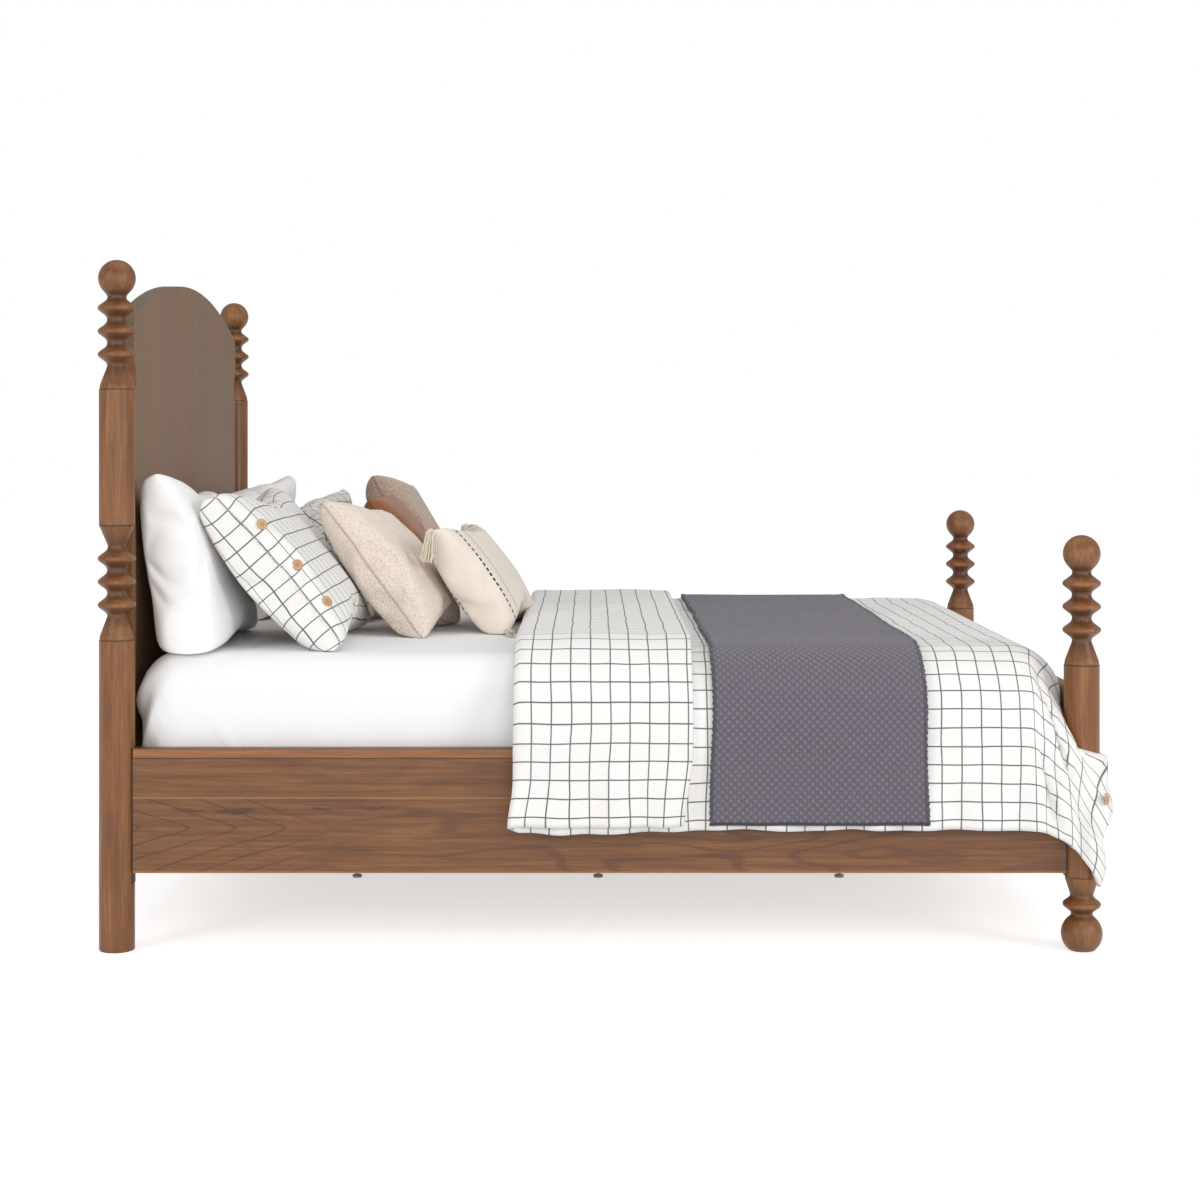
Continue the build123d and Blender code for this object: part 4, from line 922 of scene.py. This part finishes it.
def corner_fall(s, run):
    """The loose corner: x, y, z for a point of the side flap that is past the mattress's end."""
    side = -1 if s < 0 else 1
    depth = abs(s)
    y, z, _, _ = over_bed(depth, lower_reach, lower_top)
    share = run / (duvet_end - folded_length - fold_arc - (foot_start_x - fold_x))
    high = bend(*corner_high_line, share)
    low = bend(*corner_low_line, share)
    level = (z - corner_low_z) / (corner_top_z - corner_low_z)
    x = mix(low[0], high[0], level) + 0.007 * share**3 * math.sin(level * 10.0)
    drop = mix(low[1], high[1], level)
    return x, side * y, drop


def duvet_place(s, t):
    """Where the duvet's flat point (s across, t along) lies."""
    side = -1 if s < 0 else 1
    if t < folded_length:
        x = fold_x + folded_length - t
        lift = upper_top - lower_top
    elif t < folded_length + fold_arc:
        turn = (t - folded_length) / fold_r
        x = fold_x - fold_r * math.sin(turn)
        lift = fold_r * (1 + math.cos(turn))
    else:
        x = fold_x + t - folded_length - fold_arc
        lift = 0.0
    # The folded-back layer ends a little above the lower one
    upper = lift / (upper_top - lower_top)
    y, z, ny, nz = over_bed(s * (1 - 0.009 * upper), lower_reach, lower_top)
    spot = Vector((x, y + ny * lift * 0.6, z + nz * lift))
    hang = smooth(0.70, 0.95, abs(s))
    # Soft unevenness of the filling
    puff = 0.0050 * wander(x, s, lift * 8, 0.21, 2.0) + 0.0022 * wander(x, s, lift * 8, 0.075, 7.0)
    hem = smooth(0.99, half_cloth, abs(s))
    corner = smooth(1.05, half_cloth, abs(s))
    puff += hem * 0.006 * math.sin(x * 2 * math.pi / 0.115 + 1.5 * wander(x, s, 0, 0.3, 4.0))
    spot += Vector((0, ny, nz)) * puff
    spot.z += hem * 0.006 * wander(x, 0.0, lift * 20, 0.12, 9.0)
    spot.x += 0.004 * wander(x, s, lift * 8, 0.16, 12.0) * hang
    # The folded edge flares out at its lower corner, and the free edge curls in
    near_fold = smooth(0.16, 0.0, x - fold_x)
    spot.x -= 0.016 * corner * near_fold * upper
    spot.y += side * 0.012 * corner * near_fold
    spot.x -= 0.020 * hem * smooth(0.12, 0.0, t)
    from_fold = x - fold_x
    spot.z -= 0.013 * hem * (1 - upper) * smooth(0.40, 0.05, from_fold) * smooth(0.0, 0.10, from_fold)
    if x > foot_start_x:
        run = x - foot_start_x
        # On top the cloth goes over the mattress's end and down behind the footboard
        over = max(0.0, x - (tuck_x - tuck_r))
        turn = min(over / tuck_r, math.pi / 2)
        top = Vector(
            (
                min(x, tuck_x - tuck_r) + tuck_r * math.sin(turn),
                y,
                z - tuck_r * (1 - math.cos(turn)) - max(0.0, over - tuck_arc),
            )
        )
        top.z -= 0.030 * smooth(0, 0.14, run)
        fx, fy, fz = corner_fall(s, run)
        loose = Vector((fx, fy, fz)) + Vector((0, ny, nz)) * puff * 1.4
        flop = smooth(0.02, 0.20, run)
        # Soft folds run down the loose corner, with two short tucks beside the post
        crease = math.sin((run + (abs(s) - 0.7) * 0.30) * 2 * math.pi / 0.115)
        loose.y += side * 0.009 * crease * flop * hang
        for tuck_run, tuck_s, length in tucks:
            aside = (run - tuck_run) - 0.45 * (abs(s) - tuck_s)
            along = (abs(s) - tuck_s) / length
            loose.y -= side * 0.011 * math.exp(-((aside / 0.011) ** 2) - along**2)
            loose.y += side * 0.006 * math.exp(-(((aside - 0.018) / 0.012) ** 2) - along**2)
        away = smooth(0.700, 0.800, abs(s))
        blended = top.lerp(loose, away)
        spot = spot.lerp(blended, smooth(0.0, 0.10, run))
        off = Vector((spot.x - foot_post_x, spot.y - side * post_y))
        if off.length < post_clear:
            off = off.normalized() * post_clear
            spot.x = foot_post_x + off.x
            spot.y = side * post_y + off.y
    return spot


bm = cloth_grid((-half_cloth, half_cloth), (0.0, duvet_end), 0.0105, duvet_place)
quilt = publish(bm, "duvet_cover", check_cotton)
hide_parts("duvet")
shell = quilt.modifiers.new("filling", "SOLIDIFY")
shell.thickness = duvet_thickness
shell.offset = 0.0
print("duvet", round(2 * half_cloth, 3), "by", round(duvet_end, 3), "faces:", len(quilt.data.polygons))

# %% [markdown]
# ## Throw
# The throw is a heavy cotton blanket with a basket weave. It lies straight across the duvet and
# hangs to a little above the duvet's hem, so it uses the same drape with a slightly larger
# reach.

# %% Throw piece
throw_from_x = 0.2397
throw_reach = 0.8685
throw_top = 0.6715


def throw_place(s, t):
    """Where the throw's flat point lies: on the duvet, with a slight sway towards its hem."""
    x = throw_from_x + t
    y, z, ny, nz = over_bed(s, throw_reach, throw_top)
    hem = smooth(0.95, throw_half, abs(s))
    puff = 0.0022 * wander(x, s, 0.0, 0.20, 6.0) + 0.0030 * hem * wander(x, s, 0.0, 0.11, 8.0)
    sway = 0.006 * wander(t * 0.2, s, 0.0, 0.25, 14.0) + 0.012 * hem * (t / throw_width - 0.4)
    weave = math.cos(2 * math.pi * t / weave_pitch[0]) * math.cos(2 * math.pi * s / weave_pitch[1])
    edge = smooth(throw_width / 2 - 0.016, throw_width / 2, abs(t - throw_width / 2))
    ruffle = edge * 0.0028 * math.sin(2 * math.pi * s / 0.021 + 2.5 * wander(t, s, 0.0, 0.07, 2.0))
    puff += 0.0010 * weave * (1 - edge) + ruffle
    sway += edge * 0.0015 * math.sin(2 * math.pi * s / 0.014)
    return Vector((x + sway, y + ny * puff, z + nz * puff + 0.003 * hem * wander(x, 0, 0, 0.1, 3.0)))


bm = cloth_grid((-throw_half, throw_half), (0.0, throw_width), 0.0049, throw_place)
blanket = publish(bm, "throw_cloth", throw_yarn)
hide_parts("throw_blanket")
shell = blanket.modifiers.new("yarn", "SOLIDIFY")
shell.thickness = 0.0060
shell.offset = 0.0
print("throw", throw_width, "by", 2 * throw_half, "faces:", len(blanket.data.polygons))

# %% [markdown]
# ## Cushions
# A cushion is two flat panels sewn together and stuffed. Filling pushes the middle out, and the
# cloth can't stretch, so the sides pull in between the corners and the corners stay as points.
# The cloth simulation does the same: two flat grids share their rim, and air pressure with no
# gravity fills them. Every cushion swells in one run of the timeline, then each is scaled to the
# size that its CAD solid has.

# %% Cushion panels
cushion_sizes = {
    "pillow_left": (0.650, 0.430, 0.160),
    "pillow_right": (0.650, 0.430, 0.150),
    "checked_sham_left": (0.650, 0.434, 0.168),
    "checked_sham_right": (0.650, 0.434, 0.150),
    "boucle_cushion_left": (0.430, 0.400, 0.154),
    "boucle_cushion_right": (0.360, 0.420, 0.160),
    "rust_cushion": (0.304, 0.370, 0.150),
    "lumbar_cushion": (0.480, 0.330, 0.138),
}


def sewn_panels(name, width, height, fullness, cell):
    """Two flat panels that share their rim, with cloth coordinates and distance to the seam."""
    bm = bmesh.new()
    uv = bm.loops.layers.uv.new("cloth")
    seam = bm.verts.layers.float.new("seam")
    columns = round(width / cell)
    rows = round(height / cell)
    bmesh.ops.create_grid(bm, x_segments=columns, y_segments=rows, size=0.5)
    for face in bm.faces:
        for corner in face.loops:
            spot = corner.vert.co
            corner[uv].uv = (spot.x * width, spot.y * height)
    copied = bmesh.ops.duplicate(bm, geom=list(bm.verts) + list(bm.edges) + list(bm.faces))
    back_faces = [g for g in copied["geom"] if isinstance(g, bmesh.types.BMFace)]
    back = {v for v in copied["geom"] if isinstance(v, bmesh.types.BMVert)}
    bmesh.ops.reverse_faces(bm, faces=back_faces)
    for point in bm.verts:
        u = 2 * point.co.x
        v = 2 * point.co.y
        inside = min((1 - abs(u)) * width / 2, (1 - abs(v)) * height / 2)
        point[seam] = inside
        swell = (max(0.0, 1 - u * u) * max(0.0, 1 - v * v)) ** 0.5
        sign = -1 if point in back else 1
        ripple = 0.0015 * wander(u, v, sign, 0.23, 1.0) * swell
        point.co = (u * width / 2, v * height / 2, sign * fullness * 0.16 * swell + ripple)
    bmesh.ops.remove_doubles(bm, verts=bm.verts, dist=0.001)
    mesh = bpy.data.meshes.new(name)
    bm.to_mesh(mesh)
    bm.free()
    piece = bpy.data.objects.new(name, mesh)
    bpy.context.scene.collection.objects.link(piece)
    mesh.shade_smooth()
    return piece


cushions = {}
for node, (width, height, fullness) in cushion_sizes.items():
    # Flat panels are larger than the stuffed cushion, which loses width as it fills
    panel = (width + 0.25 * fullness, height + 0.25 * fullness)
    cushions[node] = sewn_panels(node + "_stuffed", *panel, fullness, 0.0125)

# %% Stuff the cushions
fill_frames = 17
scene = bpy.context.scene
scene.frame_start = 1
scene.frame_end = fill_frames
for node, piece in cushions.items():
    cloth = piece.modifiers.new("stuffing", "CLOTH")
    cloth.settings.quality = 6
    cloth.settings.mass = 0.3
    cloth.settings.tension_stiffness = 25
    cloth.settings.compression_stiffness = 15
    cloth.settings.shear_stiffness = 8
    cloth.settings.bending_stiffness = 1.0 if "boucle" in node or "rust" in node else 0.15
    cloth.settings.air_damping = 2.0
    cloth.settings.use_pressure = True
    cloth.settings.uniform_pressure_force = 2.6
    cloth.settings.effector_weights.gravity = 0
    cloth.point_cache.frame_start = 1
    cloth.point_cache.frame_end = fill_frames
for step in range(1, fill_frames + 1):
    scene.frame_set(step)
graph = bpy.context.evaluated_depsgraph_get()
for node, piece in cushions.items():
    stuffed = bpy.data.meshes.new_from_object(piece.evaluated_get(graph))
    piece.modifiers.clear()
    piece.data = stuffed
    xs, ys, zs = zip(*(point.co for point in stuffed.vertices))
    print(node, [round(max(a) - min(a), 3) for a in (xs, ys, zs)])
scene.frame_set(1)

# %% [markdown]
# The cushions lean on each other: the pillows on the headboard, the shams on the pillows and the
# small ones on the shams. Each leans back by its own angle and stands on the sheet, where its
# lowest part is pressed flat.

# %% Place the cushions
# Foot of the middle plane along the bed, place across it, lean and turn in degrees
cushion_places = {
    "pillow_left": (-0.915, -0.435, 11, 0),
    "pillow_right": (-0.915, 0.435, 11, 0),
    "checked_sham_left": (-0.597, -0.389, 41, 0),
    "checked_sham_right": (-0.597, 0.389, 41, 0),
    "boucle_cushion_left": (-0.396, -0.166, 37, 8),
    "boucle_cushion_right": (-0.435, 0.572, 25, 0),
    "rust_cushion": (-0.436, 0.236, 27, 0),
    "lumbar_cushion": (-0.206, -0.056, 35, 6),
}
cushion_finish = {
    "pillow": (white_case, "white_pillowcase"),
    "checked_sham": (check_cotton, "checked_cotton"),
    "boucle_cushion_left": (beige_loops, "beige_boucle"),
    "boucle_cushion_right": (taupe_loops, "taupe_boucle"),
    "rust_cushion": (rust_loops, "rust_cloth"),
    "lumbar_cushion": (lumbar_cloth, "cream_weave"),
}


def cushion_axes(lean, turn):
    """Directions across, up and out of a cushion's face."""
    lean = math.radians(lean)
    turn = math.radians(turn)
    across = Vector((math.sin(turn), math.cos(turn), 0))
    face = Vector((math.cos(lean) * math.cos(turn), -math.cos(lean) * math.sin(turn), math.sin(lean)))
    return across, face.cross(across), face


# How full each one is next to its rim, and how its corners slump: (across, up) corner and the
# shift in metres along across, up and face
plumpness = {"lumbar_cushion": 0.50, "pillow_left": 0.54, "checked_sham_left": 0.62}
corner_shifts = {
    "pillow_left": {(-1, 1): (0, 0.02, 0.0), (1, 1): (-0.03, -0.035, 0.0)},
    "pillow_right": {(-1, 1): (0.02, -0.05, 0.0), (1, 1): (0, -0.03, 0.085)},
    "checked_sham_left": {(-1, 1): (0, 0.024, 0.004), (1, 1): (-0.02, 0.0, 0.035)},
    "checked_sham_right": {(-1, 1): (0.03, -0.15, 0.05), (1, 1): (0, -0.07, 0.10)},
    "boucle_cushion_left": {(-1, 1): (0, 0.024, -0.002), (1, 1): (-0.02, -0.035, 0.0)},
    "boucle_cushion_right": {(-1, 1): (0, 0.020, -0.008), (1, 1): (-0.02, -0.035, 0.0)},
    "lumbar_cushion": {(1, 1): (0, -0.012, 0.0)},
}
edge_fill = {"checked_sham_left": 0.15, "pillow_left": 0.06, "pillow_right": 0.06}
placket_from_seam = 0.008
foot_spread = {"pillow_left": 0.42, "pillow_right": 0.42}
foot_press = {"pillow_left": 0.034, "pillow_right": 0.034}


def stuffed_point(node, local, size, step_out):
    """A point of the swollen panels in the cushion's own directions."""
    width, height, fullness = size
    u, v, c = local
    side = -1 if c < 0 else 1
    c = side * abs(c) ** plumpness.get(node, 0.68) * fullness / 2
    # The filling of a standing pillow sinks and spreads its foot
    c *= 1 + foot_spread.get(node, 0.0) * smooth(0.1, 0.9, -v)
    # Filling keeps the long edges from drawing in as far as empty cloth would
    v *= 1 + edge_fill.get(node, 0.03) * (1 - u * u) * smooth(0.2, 1.0, abs(v))
    shift = Vector((0, 0, 0))
    for (end_u, end_v), move in corner_shifts.get(node, {}).items():
        shift += Vector(move) * smooth(0.0, 1.0, u * end_u) * smooth(-0.1, 1.0, v * end_v)
    return Vector((u * width / 2, v * height / 2 + height / 2, c + side * step_out)) + shift


for node, piece in cushions.items():
    width, height, fullness = cushion_sizes[node]
    foot_x, middle_y, lean, turn = cushion_places[node]
    across, up, face = cushion_axes(lean, turn)
    points = piece.data.vertices
    spans = [max(abs(point.co[axis]) for point in points) for axis in range(3)]
    origin = Vector((foot_x, middle_y, 0))
    open_end = -1 if middle_y < 0 else 1
    for point in points:
        local = [point.co[axis] / spans[axis] for axis in range(3)]
        # The flap that closes a sham lies over its front, so it stands out by its thickness
        flap = 0.0
        if "sham" in node:
            from_seam = (1 - local[0] * open_end) * width / 2
            flap = 0.0035 * smooth(placket_from_seam - 0.004, placket_from_seam + 0.004, from_seam)
        spot = stuffed_point(node, local, (width, height, fullness), flap)
        point.co = origin + across * spot.x + up * spot.y + face * spot.z
    lowest = min(point.co.z for point in points)
    press = foot_press.get(node, 0.014)
    for point in points:
        rise = point.co.z - lowest
        if rise < 3 * press:
            rise = press + (rise / (3 * press)) ** 2 * 2 * press
        point.co.z = bed_top + rise - press
    kind = next(kind for kind in cushion_finish if node.startswith(kind))
    material, slot_name = cushion_finish[kind]
    piece.data.materials.clear()
    piece.data.materials.append(material)
    softer = piece.modifiers.new("finer", "SUBSURF")
    softer.levels = 1
    softer.render_levels = 1
    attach(piece, "root")
    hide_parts(node)
print("cushions:", len(cushions))

# %% [markdown]
# ## Buttons and tassels
# The buttons are turned discs with a raised rim and four holes. A tassel is a bundle of yarn
# tied below its head, so each strand is a short curve, given a round section and made a mesh.

# %% Buttons
button_r = 0.0125


def button_shape(bm, middle, outward):
    """Disc with a raised rim and four holes, at a place and facing outward."""
    one = bmesh.new()
    bmesh.ops.create_circle(one, cap_ends=True, radius=button_r, segments=40)
    lifted = bmesh.ops.extrude_face_region(one, geom=list(one.faces))["geom"]
    top = next(g for g in lifted if isinstance(g, bmesh.types.BMFace))
    bmesh.ops.translate(one, vec=(0, 0, 0.0032), verts=top.verts)
    bmesh.ops.inset_region(one, faces=[top], thickness=0.0028, depth=0.0)
    bmesh.ops.translate(one, vec=(0, 0, -0.0009), verts=top.verts)
    # Four holes, drawn as dark discs of painted shade a hair above the dished face
    for x, y in ((1, 1), (-1, 1), (-1, -1), (1, -1)):
        spot = Matrix.Translation((x * 0.0026, y * 0.0026, 0.0025))
        hole = bmesh.ops.create_circle(one, cap_ends=True, radius=0.0015, segments=12, matrix=spot)
        for f in hole["verts"][0].link_faces:
            f.material_index = 1
    turn = outward.to_track_quat("Z", "Y").to_matrix().to_4x4()
    bmesh.ops.transform(one, matrix=Matrix.Translation(middle) @ turn, verts=one.verts)
    bmesh.ops.recalc_face_normals(one, faces=one.faces)
    held = bpy.data.meshes.new("button")
    one.to_mesh(held)
    one.free()
    bm.from_mesh(held)
    bpy.data.meshes.remove(held)


def front_points(piece):
    """Where flat-cloth places of a cushion's front panel ended up, with their normals."""
    mesh = piece.data
    spots = {}
    for face in mesh.polygons[: len(mesh.polygons) // 2]:
        for corner in face.loop_indices:
            u, v = mesh.uv_layers["cloth"].data[corner].uv
            point = mesh.vertices[mesh.loops[corner].vertex_index]
            spots[(round(u, 4), round(v, 4))] = (point.co.copy(), point.normal.copy())
    return spots


def nearest_on_front(spots, u, v):
    """The place and normal for a flat-cloth spot, from the two nearest grid points."""
    order = sorted(spots, key=lambda flat: (flat[0] - u) ** 2 + (flat[1] - v) ** 2)[:3]
    weights = [1 / (0.001 + math.hypot(flat[0] - u, flat[1] - v)) for flat in order]
    total = sum(weights)
    place = sum((spots[f][0] * w for f, w in zip(order, weights)), Vector()) / total
    normal = sum((spots[f][1] * w for f, w in zip(order, weights)), Vector()).normalized()
    return place, normal


bm = bmesh.new()
sham_fronts = {}
for side, node in ((-1, "checked_sham_left"), (1, "checked_sham_right")):
    width, height, fullness = cushion_sizes[node]
    spots = front_points(cushions[node])
    sham_fronts[node] = spots
    end = max(flat[0] for flat in spots)
    for step in (-1, 0, 1):
        place, normal = nearest_on_front(spots, side * (end - 0.054), step * 0.116 - 0.008)
        button_shape(bm, place + normal * 0.0012, normal)
for side in (-1, 1):
    spot = Vector((1.098, side * 0.862, 0.345))
    button_shape(bm, spot, Vector((0.9, side * 0.5, 0.1)))
buttons = publish(bm, "wooden_button_set", button_wood)
buttons.data.materials.append(hole_shade)
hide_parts("wooden_buttons")

# %% [markdown]
# The shams' flaps are torn, not hemmed, so loose warp ends stick out along the edge. Each one is
# a thin spike of yarn that lies almost flat on the cloth.

# %% Frayed edges
bm = bmesh.new()
fray_rng = random.Random(11)


def thread(bm, foot, direction, length, radius):
    """One loose end of yarn as a slim spike."""
    made = bmesh.ops.create_cone(
        bm, cap_ends=True, segments=3, radius1=radius, radius2=radius * 0.3, depth=length
    )
    turn = direction.to_track_quat("Z", "Y").to_matrix().to_4x4()
    spot = foot + direction * length / 2
    bmesh.ops.transform(bm, matrix=Matrix.Translation(spot) @ turn, verts=made["verts"])


for side, node in ((-1, "checked_sham_left"), (1, "checked_sham_right")):
    foot_x, middle_y, lean, turn = cushion_places[node]
    across, up, face = cushion_axes(lean, turn)
    spots = sham_fronts[node]
    rows = sorted({flat[1] for flat in spots})
    end = max(flat[0] for flat in spots)
    placket = side * (end - placket_from_seam)
    column = min(sorted({flat[0] for flat in spots}), key=lambda u: abs(u - placket))
    line = [spots[(column, row)] for row in rows]
    for (place, normal), (after, _) in zip(line, line[1:]):
        for n in range(7):
            foot = place.lerp(after, (n + fray_rng.random()) / 7) + normal * 0.0015
            out = across * side + up * fray_rng.uniform(-0.6, 0.6) + normal * fray_rng.uniform(0, 0.3)
            out = (out - normal * out.dot(normal) * 0.8).normalized()
            thread(bm, foot, out, fray_rng.uniform(0.005, 0.012), 0.0006)
fray = publish(bm, "frayed_sham_edges", fray_yarn)
print("fray faces:", len(fray.data.polygons))

# %% Tassels
rng = random.Random(5)
# One loop of yarn: how far down and how far out it is, as shares of the tassel's length and spread
loop_line = ((0.12, 0.62), (0.3, 0.60), (0.55, 0.85), (0.85, 1.0), (0.98, 0.96), (0.97, 0.82), (0.8, 0.74))


def tassel(bm, knot, hang, length, spread, strands):
    """Loops of yarn from a knot: each goes down, turns round and comes part of the way back."""
    hang = hang.normalized()
    side = hang.orthogonal().normalized()
    other = hang.cross(side)
    turn = hang.to_track_quat("Z", "Y").to_matrix().to_4x4()
    for n in range(strands):
        angle = 2.4 * n + rng.uniform(-0.3, 0.3)
        away = side * math.cos(angle) + other * math.sin(angle)
        inner = math.sqrt((n + 0.5) / strands)
        long = length * rng.uniform(0.84, 1.0)
        ring = bmesh.ops.create_circle(bm, cap_ends=True, radius=0.0014, segments=5)["verts"]
        bmesh.ops.transform(bm, matrix=Matrix.Translation(knot) @ turn, verts=ring)
        face = ring[0].link_faces[0]
        before = knot.copy()
        for down, out in loop_line:
            wave = 0.0015 * math.sin(9 * down + n)
            spot = knot + hang * long * down + away * (spread * inner * out + wave)
            lifted = bmesh.ops.extrude_face_region(bm, geom=[face])["geom"]
            face = next(g for g in lifted if isinstance(g, bmesh.types.BMFace))
            bmesh.ops.translate(bm, vec=spot - before, verts=face.verts)
            before = spot


bm = bmesh.new()
lumbar = cushions["lumbar_cushion"].data.vertices
foot_x, middle_y, lean, turn = cushion_places["lumbar_cushion"]
across, up, face = cushion_axes(lean, turn)
for end, height_end in ((-1, 1), (1, 1), (-1, -1), (1, -1)):
    corner = max(lumbar, key=lambda p: p.co.dot(across) * end + p.co.dot(up) * height_end)
    if height_end > 0:
        knot = corner.co + across * end * 0.006
        tassel(bm, knot, Vector((-0.10, 0.16 * end, -1)), 0.088, 0.021, 48)
    else:
        tassel(bm, corner.co + Vector((0, 0, 0.010)), Vector((0.30, end, -0.02)), 0.070, 0.0085, 36)
bmesh.ops.recalc_face_normals(bm, faces=bm.faces)
yarn = publish(bm, "lumbar_tassel_set", tassel_yarn)
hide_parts("lumbar_tassels")
print("tassel faces:", len(yarn.data.polygons))

# %% [markdown]
# ## Finish

# %% The end
bpy.context.view_layer.update()
